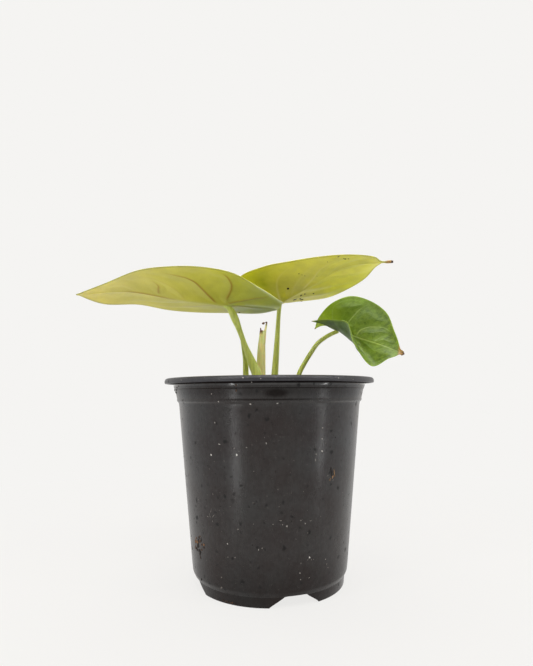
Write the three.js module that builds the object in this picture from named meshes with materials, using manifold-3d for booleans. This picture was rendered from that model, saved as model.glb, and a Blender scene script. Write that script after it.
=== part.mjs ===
import * as THREE from 'three';
import { mergeVertices } from 'three/addons/utils/BufferGeometryUtils.js';
import Module from 'manifold-3d';

// Potted golden dragon alocasia in millimetres, +Z up. The pot's axis is the Z axis and its foot stands on z = 0.
// Seen from the front the viewer looks along +Y with +X to the right.

const wasm = await Module();
wasm.setup();

// Pot, a 13 cm injection-moulded nursery pot
const potHeight = 120;
const rimRadius = 65;
const footRadius = 44;
const footHeight = 6;
const potSides = 60;
const notchCount = 4;
const notchTurn = 18.5; // degrees from the front towards +X
const notchWidth = 28; // at the floor
const notchTopWidth = 10.5;
const drainCount = 8;
const drainRadius = 3.2;
const drainRing = 33;

// Soil
const soilTop = 106;
const soilRelief = 1.4;
const gap = 0.3; // clearance between neighbouring pieces

// Leaves
const bladeThickness = 0.8;
const lobeReach = 1 / 3; // back lobes, as a share of the length from stalk to tip
const bladeColumns = 40; // from the lobes' ends to the tip
const bladeRows = 8; // from the midrib to the edge
const keelWidth = 2.6;
const veinSweep = 0.3; // how far a side vein runs forward on its way to the edge, as a share of the blade
const stalkSides = 10;
const stalkStep = 3.4; // length between the rings of a stalk

// Catmull-Rom curve through evenly spaced numbers or points
function along(values, t) {
  const last = values.length - 1;
  const s = THREE.MathUtils.clamp(t, 0, 1) * last;
  const i = Math.min(Math.floor(s), last - 1);
  const f = s - i;
  const [p1, p2] = [values[i], values[i + 1]];
  const isPoint = Array.isArray(p1);
  const mix = (a, b, c, d) => 0.5 * (2 * b + (c - a) * f + (2 * a - 5 * b + 4 * c - d) * f * f
    + (3 * b - a - 3 * c + d) * f * f * f);
  const beyond = (a, b) => (isPoint ? a.map((v, k) => 2 * v - b[k]) : 2 * a - b);
  const p0 = i > 0 ? values[i - 1] : beyond(p1, p2);
  const p3 = i + 2 <= last ? values[i + 2] : beyond(p2, p1);
  return isPoint ? p1.map((v, k) => mix(p0[k], v, p2[k], p3[k])) : mix(p0, p1, p2, p3);
}

const vector = (p) => new THREE.Vector3(...p);
const radians = THREE.MathUtils.degToRad;

// Share of the way from the lobes' ends to the tip
const share = (x) => (x + lobeReach) / (1 + lobeReach);

// Quadratic bend from a past b to c
const bend = (a, b, c, t) => a.map((v, k) => (1 - t) ** 2 * v + 2 * t * (1 - t) * b[k] + t * t * c[k]);

// A point of the middle surface, v = 0 on the midrib, or on the lobe's inner edge where x < 0, and v = 1 on the outer edge
function bladePoint(leaf, half, x, v) {
  const inner = x < 0 ? bend(leaf.midrib[0], half.sinus, half.edge[0], -x / lobeReach) : along(leaf.midrib, x);
  const outer = along(half.edge, share(x));
  const belly = along(half.belly, share(x));
  const pull = inner.map((c, k) => (c + outer[k]) / 2 + belly[k]);
  return vector(bend(inner, pull, outer, v));
}

function bladeNormal(leaf, side, x, v) {
  const dx = 0.01;
  const dv = 0.04;
  const half = leaf[side];
  const x0 = THREE.MathUtils.clamp(x, -lobeReach + 3 * dx, 1 - 3 * dx);
  const v0 = THREE.MathUtils.clamp(v, dv, 1 - dv);
  const lengthwise = bladePoint(leaf, half, x0 + dx, v0).sub(bladePoint(leaf, half, x0 - dx, v0));
  const sideways = bladePoint(leaf, half, x0, v0 + dv).sub(bladePoint(leaf, half, x0, v0 - dv));
  return (side === 'right' ? sideways.cross(lengthwise) : lengthwise.cross(sideways)).normalize();
}

// Height of the quilting between the side veins
function quilting(leaf, x, v) {
  const ends = THREE.MathUtils.smoothstep(1 - x, 0, 0.35) * THREE.MathUtils.smoothstep(share(x), 0, 0.2);
  const body = THREE.MathUtils.smoothstep(v, 0, 0.3) * THREE.MathUtils.smoothstep(1 - v, 0, 0.25);
  return leaf.quilt * ends * body * Math.sin(Math.PI * leaf.veins * (x - veinSweep * v)) ** 2;
}

// A leaf blade as one closed thin solid: two like faces, a keel under the midrib, and a band round the edge
function blade(leaf) {
  const points = [];
  const faces = [];
  const placed = new Map();
  const tip = 1;

  // Adds a point of the upper face and the one below it, and gives the upper one's number
  function pair(side, x, v, key) {
    if (placed.has(key)) return placed.get(key);
    const normal = bladeNormal(leaf, side, x, v);
    if (key.startsWith('rib')) normal.add(bladeNormal(leaf, 'left', x, v)).normalize();
    const middle = bladePoint(leaf, leaf[side], x, v).addScaledVector(normal, quilting(leaf, x, v));
    const offRib = x < 0 ? keelWidth : middle.distanceTo(vector(along(leaf.midrib, x)));
    const keel = leaf.keel * Math.max(0, 1 - offRib / keelWidth) * THREE.MathUtils.smoothstep(1 - x, 0, 0.9);
    points.push(middle.clone().addScaledVector(normal, bladeThickness / 2));
    points.push(middle.clone().addScaledVector(normal, -bladeThickness / 2 - keel));
    placed.set(key, points.length - 2);
    return points.length - 2;
  }

  function triangle(side, a, b, c) {
    if (a === b || b === c || c === a) return;
    const [p, q, r] = side === 'right' ? [a, b, c] : [a, c, b];
    faces.push([p, q, r], [p + 1, r + 1, q + 1]);
  }

  const lobeColumns = Math.round(bladeColumns * lobeReach / (1 + lobeReach));
  for (const side of ['right', 'left']) {
    const grid = Array.from({ length: bladeColumns + 1 }, (_, i) => {
      const x = (i - lobeColumns) / (bladeColumns - lobeColumns);
      return Array.from({ length: bladeRows + 1 }, (__, j) => {
        if (i === bladeColumns) return pair(side, tip, 0, 'tip');
        if (i === 0) return pair(side, -lobeReach, 1, `lobe ${side}`);
        if (j === 0 && x >= 0) return pair('right', x, 0, `rib ${i}`);
        return pair(side, x, j / bladeRows, `${side} ${i} ${j}`);
      });
    });
    for (let i = 0; i < bladeColumns; i++) {
      for (let j = 0; j < bladeRows; j++) {
        const [a, b, c, d] = [grid[i][j], grid[i + 1][j], grid[i + 1][j + 1], grid[i][j + 1]];
        triangle(side, a, d, c);
        triangle(side, a, c, b);
      }
    }
  }
  return closeEdge(points, faces);
}

// Adds the band between an upper face's open edge and the lower face's like edge
function closeEdge(points, faces) {
  const edges = new Set();
  const upper = faces.filter((face) => face[0] % 2 === 0);
  for (const face of upper) face.forEach((p, k) => edges.add(`${p} ${face[(k + 1) % 3]}`));
  for (const edge of edges) {
    const [p, q] = edge.split(' ').map(Number);
    if (!edges.has(`${q} ${p}`)) faces.push([q, p, p + 1], [q, p + 1, q + 1]);
  }
  return shell(points, faces);
}

function shell(points, faces) {
  const geometry = new THREE.BufferGeometry();
  const numbers = points.flatMap((p) => [p.x, p.y, p.z]);
  geometry.setAttribute('position', new THREE.Float32BufferAttribute(numbers, 3));
  geometry.setIndex(faces.flat());
  return geometry;
}

// A closed tube through the points of a path, radii given evenly along it. It is flat times as thick as it is wide,
// and its width lies across the view from the front.
function stalk({ path, radii, flat = 1 }) {
  const curve = new THREE.CatmullRomCurve3(path.map(vector));
  const steps = Math.max(5, Math.round(curve.getLength() / stalkStep));
  const depth = new THREE.Vector3(0, 1, 0);
  const points = [];
  const faces = [];
  for (let i = 0; i <= steps; i++) {
    const centre = curve.getPointAt(i / steps);
    const tangent = curve.getTangentAt(i / steps);
    const across = depth.clone().cross(tangent).normalize();
    const back = tangent.clone().cross(across);
    const radius = along(radii, i / steps);
    for (let k = 0; k < stalkSides; k++) {
      const turn = 2 * Math.PI * k / stalkSides;
      points.push(centre.clone()
        .addScaledVector(across, radius * Math.cos(turn))
        .addScaledVector(back, radius * flat * Math.sin(turn)));
    }
  }
  for (let i = 0; i < steps; i++) {
    for (let k = 0; k < stalkSides; k++) {
      const [a, b] = [i * stalkSides + k, i * stalkSides + (k + 1) % stalkSides];
      faces.push([a, b, b + stalkSides], [a, b + stalkSides, a + stalkSides]);
    }
  }
  const last = steps * stalkSides;
  for (let k = 1; k + 1 < stalkSides; k++) {
    faces.push([0, k + 1, k], [last, last + k, last + k + 1]);
  }
  return shell(points, faces);
}

function toSolid(geometry) {
  const bare = geometry.clone();
  bare.deleteAttribute('normal');
  bare.deleteAttribute('uv');
  const merged = mergeVertices(bare, 1e-4);
  const vertProperties = new Float32Array(merged.attributes.position.array);
  const triVerts = new Uint32Array(merged.index.array);
  return new wasm.Manifold(new wasm.Mesh({ numProp: 3, vertProperties, triVerts }));
}

function toGeometry(solid) {
  const mesh = solid.getMesh();
  const geometry = new THREE.BufferGeometry();
  geometry.setAttribute('position', new THREE.BufferAttribute(new Float32Array(mesh.vertProperties), 3));
  geometry.setIndex(new THREE.BufferAttribute(new Uint32Array(mesh.triVerts), 1));
  return geometry;
}

// A lathed body with its axis along Z from [radius, height] pairs that start and end on the axis
function lathe(profile, sides) {
  const outline = profile.map(([radius, height]) => new THREE.Vector2(radius, height));
  return new THREE.LatheGeometry(outline, sides).rotateX(Math.PI / 2);
}

// Tubes grown together into one body
function grown(tubes) {
  return toGeometry(tubes.map((tube) => toSolid(stalk(tube))).reduce((body, tube) => body.add(tube)));
}

const potProfile = [
  [0, 0], [6.5, 0], [7.6, 6.6], [41.6, 6.6], [42.6, 0], [footRadius, 0], [44.6, footHeight - 0.4],
  [45, footHeight], [45.9, 8.2], [46.5, 12], [55.7, 103.5], [56, 105.4], [57, 107.4], [57.7, 112.6],
  [59.1, 114.4], [59.7, 115.6], [59.9, 118.2], [60.6, 118.7], [62.8, 118.7], [63.3, 118.2], [63.4, 116.7],
  [64.7, 116.7], [rimRadius, 118.2], [64.4, 119.6], [63.4, potHeight], [60.2, potHeight], [58.9, 119.5],
  [58.5, 118.4], [58.4, 115.8], [56.5, 112.7], [55.8, 107.6], [54.6, 104.9], [45.3, 12], [44.2, 8.8],
  [42.8, 7.8], [0, 7.8],
];

function foot(turn) {
  const half = notchWidth / 2;
  const top = notchTopWidth / 2;
  const depth = 12;
  const outline = new THREE.Shape();
  outline.moveTo(-half, -1);
  outline.lineTo(-half + 0.6, 1);
  outline.lineTo(-top - 1.4, footHeight - 0.7);
  outline.lineTo(-top, footHeight);
  outline.lineTo(top, footHeight);
  outline.lineTo(top + 1.4, footHeight - 0.7);
  outline.lineTo(half - 0.6, 1);
  outline.lineTo(half, -1);
  const notch = new THREE.ExtrudeGeometry(outline, { depth, bevelEnabled: false });
  return notch.rotateX(Math.PI / 2).translate(0, -footRadius + depth / 2 + 3, 0).rotateZ(radians(turn));
}

function pot() {
  let body = toSolid(lathe(potProfile, potSides));
  for (let i = 0; i < notchCount; i++) {
    body = body.subtract(toSolid(foot(notchTurn + i * 360 / notchCount)));
  }
  for (let i = 0; i < drainCount; i++) {
    const turn = 2 * Math.PI * (i + 0.5) / drainCount;
    const drain = new THREE.CylinderGeometry(drainRadius, drainRadius, 6, 16).rotateX(Math.PI / 2);
    drain.translate(drainRing * Math.cos(turn), drainRing * Math.sin(turn), 8);
    body = body.subtract(toSolid(drain));
  }
  return toGeometry(body);
}

// Stalks, from their foot in the soil to the blade, each of one or more tubes grown together
const leftStalk = [
  {
    path: [[-4, -5, 92], [-5.4, -6, 106], [-7.2, -7, 121.6], [-9.5, -7.5, 128.3], [-14.2, -9.5, 140],
      [-17.9, -12, 149.8], [-21.1, -14.2, 157.4], [-22.7, -15, 162.1]],
    radii: [3.4, 3.3, 3, 2.4, 1.9, 1.7, 2.6],
  },
  {
    path: [[-9, -1, 93], [-12.9, 0, 108], [-13.9, 0, 122], [-14.2, -2.4, 133], [-16.3, -10.4, 145.5]],
    radii: [2, 2, 1.8, 1.5, 0.9],
  },
];
const rightStalk = [
  {
    path: [[2.4, 5.4, 92], [3.2, 5.7, 107], [4.1, 6, 122.5], [5.4, 6.5, 141.8], [7.2, 7.5, 161.8], [7.9, 8, 168]],
    radii: [2.7, 2.5, 2.2, 1.8, 1.5, 1.25, 1.4],
  },
];
const smallStalk = [
  {
    path: [[13, 3, 92], [15.5, 2.5, 107], [19.3, 2, 122], [22.6, 2, 128.6], [27, 2, 136.6], [31.2, 2, 141.9],
      [35.9, 2.2, 145.7], [40.4, 2.5, 147.8], [44, 2.8, 148.3]],
    radii: [2.2, 2, 1.7, 1.5, 1.45, 1.35, 1.3],
  },
];
// The withered sheath leaf between the stalks, with its brown left tip and hooked right strand
const sheath = [
  {
    path: [[-3, 0.6, 94], [-3.8, 0.3, 108], [-4.3, 0, 122], [-4.1, 0, 134], [-3.8, 0, 147.5]],
    radii: [1.7, 2.4, 2.4, 2.1, 1.8],
    flat: 0.5,
  },
  { path: [[-4.6, 0, 143], [-4.8, 0, 148], [-5, 0, 152.6]], radii: [1, 0.9, 0.4] },
  {
    path: [[-2.7, 0, 143], [-2.2, 0, 148], [-1.3, 0, 153], [-0.8, 0, 155.6], [-1.6, 0, 156.1], [-3.4, 0, 155.2]],
    radii: [1, 0.7, 0.55, 0.7],
  },
];

// Blades. The midrib runs from the stalk to the tip. Each half's edge runs from the lobe's end to the tip,
// its sinus bends the lobe's inner edge, and its belly is how far the surface swells between midrib and edge.
const leftBlade = {
  midrib: [[-23.5, -15, 164.3], [-53, -18, 167.5], [-85, -21, 172.6], [-115, -25, 170.7]],
  right: {
    edge: [[6, -2, 163.8], [-7, 8, 163.3], [-27, 17, 165], [-48, 18, 165.7], [-67, 14, 166.7], [-85.3, 6, 169],
      [-102.4, -10, 167.3], [-115, -25, 170.7]],
    sinus: [-8, -10, 164.4],
    belly: [[0, 0, 0], [0, 0, 1], [0, 0, 2], [0, 0, 2], [0, 0, 0]],
  },
  left: {
    edge: [[8.7, -27, 163.7], [-4.7, -40, 169.4], [-19.7, -48, 176.8], [-37, -51, 179.8], [-55, -49, 180.5],
      [-74, -43, 179.1], [-95.2, -33, 173.4], [-115, -25, 170.7]],
    sinus: [-7.8, -19, 164.4],
    belly: [[0, 0, 0], [0, 0, 1], [0, 0, 2], [0, 0, 2], [0, 0, 0]],
  },
  veins: 6,
  quilt: 0.7,
  keel: 1.1,
};
const rightBlade = {
  midrib: [[8.2, 8, 170.5], [25.7, -13, 176.9], [46.2, -34, 182.2], [67.4, -52, 181.2]],
  right: {
    edge: [[-21.3, 14, 172.5], [-18.7, -8, 182.5], [-3.4, -22, 186.3], [13.1, -34, 186.5], [28.4, -44, 186.4],
      [42.8, -52, 185.3], [56.7, -56, 182.4], [67.4, -52, 181.2]],
    sinus: [-6.4, 11, 170.5],
    belly: [[0, 0, 0], [0, 0, -2], [0, 0, -2], [0, 0, 0], [0, 0, 0]],
  },
  left: {
    edge: [[-2.6, 34, 171.1], [11, 34, 174.8], [25.6, 28, 175], [40.3, 16, 174.8], [51.6, 1, 177.1],
      [59.7, -15, 180.3], [63.7, -34, 183.6], [67.4, -52, 181.2]],
    sinus: [1.6, 21, 170.2],
    belly: [[0, 0, 0], [0, 0, -1], [0, 0, 0], [0, 0, 0], [0, 0, 0]],
  },
  veins: 6,
  quilt: 0.7,
  keel: 1,
};
const smallBlade = {
  midrib: [[45.3, 0, 150.4], [55.5, -13, 144.1], [66, -25, 138.5], [77, -36, 132.8]],
  right: {
    edge: [[28.6, 2, 156.6], [34.7, -7, 155.7], [41, -16, 154.1], [47.2, -24, 152], [51, -31, 140.7],
      [58.2, -36, 125.8], [67.7, -38, 129.7], [77, -36, 132.8]],
    sinus: [36.3, 2, 155.4],
    belly: [[0, 0, 0], [0, 0, -5], [2, -2, -17], [0, -2, -5], [0, 0, 0]],
  },
  left: {
    edge: [[32.3, 20, 154], [35, 18, 162.2], [43.2, 15, 170.6], [54.6, 8, 173.6], [65.2, -1, 169.5],
      [72.2, -12, 160.1], [74.4, -24, 146.6], [77, -36, 132.8]],
    sinus: [36.8, 12, 158.2],
    belly: [[0, 0, 0], [0, 3, 0], [0, 4, -1], [0, 3, 0], [0, 0, 0]],
  },
  veins: 5,
  quilt: 0.5,
  keel: 0.6,
};

const soilProfile = [
  [0, 8.1], [42.4, 8.1], [43.9, 9.2], [44.9, 12.2], [54, soilTop - 1.2], [50, soilTop], [44, soilTop],
  [37, soilTop], [30, soilTop], [23, soilTop], [16, soilTop], [9, soilTop], [0, soilTop],
];

// The plain hole that a stalk stands in, a little wider and deeper than the stalk
function hole({ path, radii, flat }) {
  const [x, y, z] = path[0];
  const clear = gap + 0.1;
  return stalk({ path: [[x, y, z - clear], ...path.slice(1)], radii: radii.map((radius) => radius + clear), flat });
}

function soil() {
  const bed = lathe(soilProfile, potSides);
  const place = bed.attributes.position;
  for (let i = 0; i < place.count; i++) {
    const [x, y, z] = [place.getX(i), place.getY(i), place.getZ(i)];
    const wave = Math.sin(0.21 * x + 1) * Math.cos(0.17 * y) + 0.6 * Math.sin(0.43 * y - 0.31 * x);
    if (z === soilTop) place.setZ(i, z + soilRelief * wave);
  }
  let body = toSolid(bed);
  for (const tube of [...leftStalk, ...rightStalk, ...smallStalk, sheath[0]]) {
    body = body.subtract(toSolid(hole(tube)));
  }
  return toGeometry(body);
}

const finishes = {
  pot: { color: '#393534', roughness: 0.45, metalness: 0 },
  soil: { color: '#3b2a20', roughness: 0.95, metalness: 0 },
  stalk: { color: '#9da058', roughness: 0.5, metalness: 0 },
  sheath: { color: '#b0a868', roughness: 0.7, metalness: 0 },
  goldBlade: { color: '#b3ad55', roughness: 0.45, metalness: 0 },
  greenBlade: { color: '#6f8840', roughness: 0.4, metalness: 0 },
};

const group = new THREE.Group();

function add(name, geometry, finish) {
  const mesh = new THREE.Mesh(geometry, new THREE.MeshStandardMaterial(finishes[finish]));
  mesh.name = name;
  group.add(mesh);
}

add('pot', pot(), 'pot');
add('soil', soil(), 'soil');
add('petiole_left', grown(leftStalk), 'stalk');
add('petiole_right', grown(rightStalk), 'stalk');
add('petiole_small', grown(smallStalk), 'stalk');
add('sheath', grown(sheath), 'sheath');
add('blade_left', blade(leftBlade), 'goldBlade');
add('blade_right', blade(rightBlade), 'goldBlade');
add('blade_small', blade(smallBlade), 'greenBlade');

export default group;
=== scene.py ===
from functools import partial
from math import cos, pi, radians, sin, sqrt

import bmesh
import bpy
import numpy as np
from mathutils import Matrix, Vector, noise


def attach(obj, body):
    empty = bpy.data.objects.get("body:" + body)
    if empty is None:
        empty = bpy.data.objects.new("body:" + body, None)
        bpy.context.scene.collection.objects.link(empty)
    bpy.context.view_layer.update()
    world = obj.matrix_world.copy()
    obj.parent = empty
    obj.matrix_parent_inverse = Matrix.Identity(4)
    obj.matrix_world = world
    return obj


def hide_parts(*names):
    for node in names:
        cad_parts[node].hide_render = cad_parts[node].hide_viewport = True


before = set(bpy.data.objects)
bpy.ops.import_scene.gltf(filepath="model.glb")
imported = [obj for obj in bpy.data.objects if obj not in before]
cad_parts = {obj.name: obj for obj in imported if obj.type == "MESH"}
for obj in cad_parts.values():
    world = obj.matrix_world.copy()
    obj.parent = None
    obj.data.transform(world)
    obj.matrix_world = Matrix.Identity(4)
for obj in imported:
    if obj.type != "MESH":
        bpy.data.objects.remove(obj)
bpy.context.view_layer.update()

mm = 0.001
rng = np.random.default_rng(41)


# Camera and stage

view = {
    "lens": 27.03,  # mm, for a 36 mm sensor on the picture's longer side
    "place": (-0.00145, -0.318, 0.1101),
    "pitch": 7.0,  # degrees above level
    "roll": -0.4,
}
stageLook = {
    "pale": "#f5f4f2",
    "paper": "#d3d1ce",
    "cool": "#eff1f2",  # a painted cool glow on the floor to the left and right of the camera, for the pot's sides to reflect
    "sides": 64,
    "floorRadius": 0.9,  # metres
    "wallRadius": 1.7,
    "wallHeight": 2.6,
    "skyStrength": 0.96,
    "frontStrength": 0.16,  # the unlit side of the studio, behind the photographer
    "floorShare": 0.13,  # how much of the floor's paleness comes from the light that falls on it
    "softboxes": [  # name, watts, place and aim in metres, width and height
        ("strip_left", 0.9, (-0.275, -0.32, 0.46), (0, 0, 0.46), (0.027, 0.42)),
        ("strip_right", 0.7, (0.36, -0.22, 0.46), (0, 0, 0.46), (0.027, 0.42)),
        ("low_left", 0.11, (-0.243, -0.288, 0.03), (-0.018, -0.05, 1.9), (0.014, 0.33)),
        ("low_right", 0.105, (0.358, -0.181, 0.03), (0.027, -0.046, 1.9), (0.014, 0.3)),
        ("near_left", 0.008, (-0.103, -0.126, 0.003), (0.012, -0.005, 1.2), (0.01, 0.19)),
        ("near_right", 0.003, (0.133, -0.09, 0.003), (0.01, -0.035, 1.2), (0.01, 0.19)),
        ("top", 3.0, (-0.1, 0.25, 0.9), (0, 0, 0.15), (0.8, 0.6)),
        ("front_top", 3.0, (0.1, -0.55, 0.85), (0, 0, 0.14), (0.6, 0.4)),
    ],
}


def setCamera():
    data = bpy.data.cameras.new("camera")
    data.lens = view["lens"]
    data.sensor_width = 36.0
    data.clip_start = 0.01
    camera = bpy.data.objects.new("camera", data)
    tilt = Matrix.Rotation(radians(90.0 + view["pitch"]), 4, "X")
    roll = Matrix.Rotation(radians(view["roll"]), 4, "Z")
    camera.matrix_world = Matrix.Translation(view["place"]) @ tilt @ roll
    bpy.context.collection.objects.link(camera)
    bpy.context.scene.camera = camera


setCamera()
print("camera set")


def linear(hexColour):
    parts = [int(hexColour[i:i + 2], 16) / 255 for i in (1, 3, 5)]
    return [c / 12.92 if c <= 0.04045 else ((c + 0.055) / 1.055) ** 2.4 for c in parts] + [1.0]


def addNode(tree, kind, inputs={}, stops=None, **settings):
    # An input is a number, a hex colour, or the node or socket that feeds it. It goes by name, or by number
    # where names repeat: a map range has its value at 0, the span that it comes from at 1 and 2 and the span
    # that it goes to at 3 and 4. A mix has its share at 0, vectors at 4 and 5, and colours at 6 and 7.
    node = tree.nodes.new("ShaderNode" + kind)
    for name, setting in settings.items():
        setattr(node, name, setting)
    for name, value in inputs.items():
        if isinstance(value, bpy.types.Node):
            value = next(output for output in value.outputs if output.enabled)
        if isinstance(value, bpy.types.NodeSocket):
            tree.links.new(value, node.inputs[name])
        else:
            node.inputs[name].default_value = linear(value) if isinstance(value, str) else value
    for i, (place, colour) in enumerate(stops or []):  # a ramp's places, and hex colours or grey levels
        ramp = node.color_ramp.elements
        stop = ramp[i] if i < 2 else ramp.new(place)
        stop.position = place
        stop.color = linear(colour) if isinstance(colour, str) else [colour] * 3 + [1.0]
    return node


def newMaterial(name):
    # A material, and the function that adds nodes to it
    material = bpy.data.materials.new(name)
    material.use_nodes = True
    material.node_tree.nodes.clear()
    return material, partial(addNode, material.node_tree)


def meshPiece(name, points, faces, material, smooth=True, attributes={}):
    mesh = bpy.data.meshes.new(name)
    mesh.from_pydata(np.asarray(points, float).tolist(), [], [tuple(face) for face in faces])
    mesh.validate()
    mesh.shade_smooth() if smooth else mesh.shade_flat()
    for key, values in attributes.items():
        layer = mesh.attributes.new(key, "FLOAT", "POINT")
        layer.data.foreach_set("value", np.asarray(values, np.float32))
    mesh.materials.append(material)
    piece = bpy.data.objects.new(name, mesh)
    bpy.context.collection.objects.link(piece)
    return piece


def replaceNode(piece, node):
    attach(piece, "root")
    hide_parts(node)


def mendMesh(piece, weld=0.0):
    shape = bmesh.new()
    shape.from_mesh(piece.data)
    if weld:
        bmesh.ops.remove_doubles(shape, verts=shape.verts, dist=weld)
    bmesh.ops.recalc_face_normals(shape, faces=shape.faces)
    shape.to_mesh(piece.data)
    shape.free()


def paperWall(name):
    # Sheet of pale paper, evenly lit and out of the plant's light
    material, add = newMaterial(name)
    shader = add("Emission", {"Color": stageLook["pale"]})
    add("OutputMaterial", {"Surface": shader})
    return material


def paperFloor(name):
    # Matt paper sweep, lit as it lies near the plant and glowing pale further out, with a painted cool glow
    # to the sides of the camera
    look = stageLook
    material, add = newMaterial(name)
    place = add("TexCoord").outputs["Object"]
    reach = add("VectorMath", {0: place}, operation="LENGTH")
    way = add("VectorMath", {0: place}, operation="NORMALIZE")
    wayX = add("SeparateXYZ", {0: way}).outputs["X"]
    toSide = add("Math", {0: wayX}, operation="ABSOLUTE")
    # Painted cool glow to the left and right of the camera, in front of the pot
    sideShare = add("MapRange", {0: toSide, 1: 0.4, 2: 0.75}, interpolation_type="SMOOTHSTEP")
    spot = add("SeparateXYZ", {0: place})
    away = add("Math", {0: spot.outputs["X"]}, operation="ABSOLUTE")
    past = add("Math", {0: spot.outputs["Y"], 1: -0.55, 2: away}, operation="MULTIPLY_ADD")
    pastShare = add("MapRange", {0: past, 1: 0.2, 2: 0.3}, interpolation_type="SMOOTHSTEP")
    paintedCoolGlowShare = add("Math", {0: sideShare, 1: pastShare}, operation="MULTIPLY")
    glowTone = add("Mix", {0: paintedCoolGlowShare, 6: look["pale"], 7: look["cool"]}, data_type="RGBA")
    paper = add("BsdfDiffuse", {"Color": look["paper"]})
    glow = add("Emission", {"Color": glowTone})
    fade = add("MapRange", {0: reach, 1: 0.12, 2: 0.45, 3: 1 - look["floorShare"]},
               interpolation_type="SMOOTHSTEP")
    shader = add("MixShader", {0: fade, 1: paper, 2: glow})
    add("OutputMaterial", {"Surface": shader})
    return material


def lathePoints(outline, sides):
    turns = np.linspace(0, 2 * pi, sides, endpoint=False)
    rings = [np.stack([r * np.cos(turns), r * np.sin(turns), np.full(sides, z)], 1) for r, z in outline]
    return np.concatenate(rings)


def ringFaces(rings, sides):
    faces = []
    for start in range(0, (rings - 1) * sides, sides):
        for k in range(sides):
            n = (k + 1) % sides
            faces.append((start + k, start + n, start + sides + n, start + sides + k))
    return faces


def makeStage():
    look = stageLook
    sides = look["sides"]
    start, height = look["floorRadius"], look["wallHeight"]
    curve = look["wallRadius"] - start
    floorOutline = [(r, 0.0) for r in (0.002, 0.1, 0.3, 0.6, start)]
    wallOutline = [(start + curve * sin(a), curve * (1 - cos(a))) for a in np.linspace(0, pi / 2, 12)]
    wallOutline += [(look["wallRadius"], height), (0.01, height + 0.2)]
    floorFaces = ringFaces(len(floorOutline), sides) + [tuple(range(sides))]
    floor = meshPiece("floor", lathePoints(floorOutline, sides), floorFaces, paperFloor("paper_floor"))
    wall = meshPiece("backdrop", lathePoints(wallOutline, sides), ringFaces(len(wallOutline), sides),
                     paperWall("paper_wall"))
    for reach in ("diffuse", "glossy", "transmission", "shadow"):
        setattr(wall, "visible_" + reach, False)


def makeSky():
    world = bpy.data.worlds.new("studio")
    world.use_nodes = True
    world.node_tree.nodes.clear()
    add = partial(addNode, world.node_tree)
    way = add("TexCoord").outputs["Generated"]
    across = add("SeparateXYZ", {0: way}).outputs["Y"]
    strength = add("MapRange", {0: across, 1: -0.95, 2: -0.3, 3: stageLook["frontStrength"],
                                4: stageLook["skyStrength"]}, interpolation_type="SMOOTHSTEP")
    add("OutputWorld", {"Surface": add("Background", {"Color": "#fffdfa", "Strength": strength})})
    bpy.context.scene.world = world


def addSoftbox(name, watts, place, target, size):
    data = bpy.data.lights.new(name, "AREA")
    data.shape = "RECTANGLE"
    data.size, data.size_y = size
    data.energy = watts
    light = bpy.data.objects.new(name, data)
    aim = (Vector(target) - Vector(place)).to_track_quat("-Z", "Y")
    light.matrix_world = Matrix.Translation(place) @ aim.to_matrix().to_4x4()
    light.visible_camera = False
    bpy.context.collection.objects.link(light)


makeStage()
makeSky()
for softbox in stageLook["softboxes"]:
    addSoftbox(*softbox)
bpy.context.scene.view_settings.view_transform = "Standard"
print("stage set")


# Pot

potShape = {
    "outline": [  # radius and height in mm, outside first, then down the inside
        (6.5, 0), (7.6, 6.6), (41.6, 6.6), (42.6, 0), (44, 0), (44.6, 5.6), (45, 6), (46.1, 8.2),
        (46.6, 12), (55.85, 103.8), (56.2, 105.5), (57, 106.2), (57.3, 106.9), (57.2, 107.9),
        (58.4, 112.8), (58.9, 113.9), (59.4, 115.1), (59.6, 116.3), (59.3, 118.2), (60.6, 118.7),
        (62.8, 118.7), (63.3, 118.2), (63.4, 116.7), (64.7, 116.7), (65, 118.2), (64.4, 119.6),
        (63.4, 120), (60.2, 120), (58.9, 119.5), (58.5, 118.4), (58.4, 115.8), (56.5, 112.7),
        (55.8, 107.6), (54.6, 104.9), (45.3, 12), (44.2, 8.8), (42.8, 7.8),
    ],
    "cornerRadius": 0.6,
    "cornerSteps": 3,
    "sides": 192,
    "notches": 4,
    "notchTurn": 17.6,  # degrees from the front towards the right
    # Half width and height of a notch, from the foot up
    "notchEdge": [(13.6, 0.6), (11.8, 1.9), (9.8, 3.2), (7.45, 4.7), (6.15, 5.7), (4.65, 6)],
    "notchFoot": 14.4,
    "notchDepth": (-50, -38),
    "drains": 8,
    "drainRadius": 3.2,
    "drainRing": 33.0,
    "drainSides": 20,
    "drainDepth": (5, 9),
    "insideFloor": 7.8,
    "ringStep": 6.0,  # mm between the rings of a straight wall
    "sharpAngle": 32,
    "wall": (4, 19),  # first and past the last of the outline's points on the outer wall
    "height": 120,
    "lipFrom": 117.5,
    "lipRadius": 64.9,
    "lean": 0.35,  # mm that the thin wall sags to the left on its way down
}


def roundedOutline(outline, radius, steps):
    points = [np.array(p, float) for p in outline]
    result = [points[0]]
    for before, corner, after in zip(points, points[1:], points[2:]):
        back, on = before - corner, after - corner
        cut = min(radius, 0.45 * np.linalg.norm(back), 0.45 * np.linalg.norm(on))
        start = corner + back / np.linalg.norm(back) * cut
        end = corner + on / np.linalg.norm(on) * cut
        for t in np.linspace(0, 1, steps + 1):
            result.append((1 - t) ** 2 * start + 2 * t * (1 - t) * corner + t * t * end)
    return result + [points[-1]]


def prism(outline, low, high):
    n = len(outline)
    points = [(x, low, z) for x, z in outline] + [(x, high, z) for x, z in outline]
    faces = [tuple(range(n)), tuple(range(2 * n - 1, n - 1, -1))]
    faces += [(k, n + k, n + (k + 1) % n, (k + 1) % n) for k in range(n)]
    return points, faces


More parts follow.
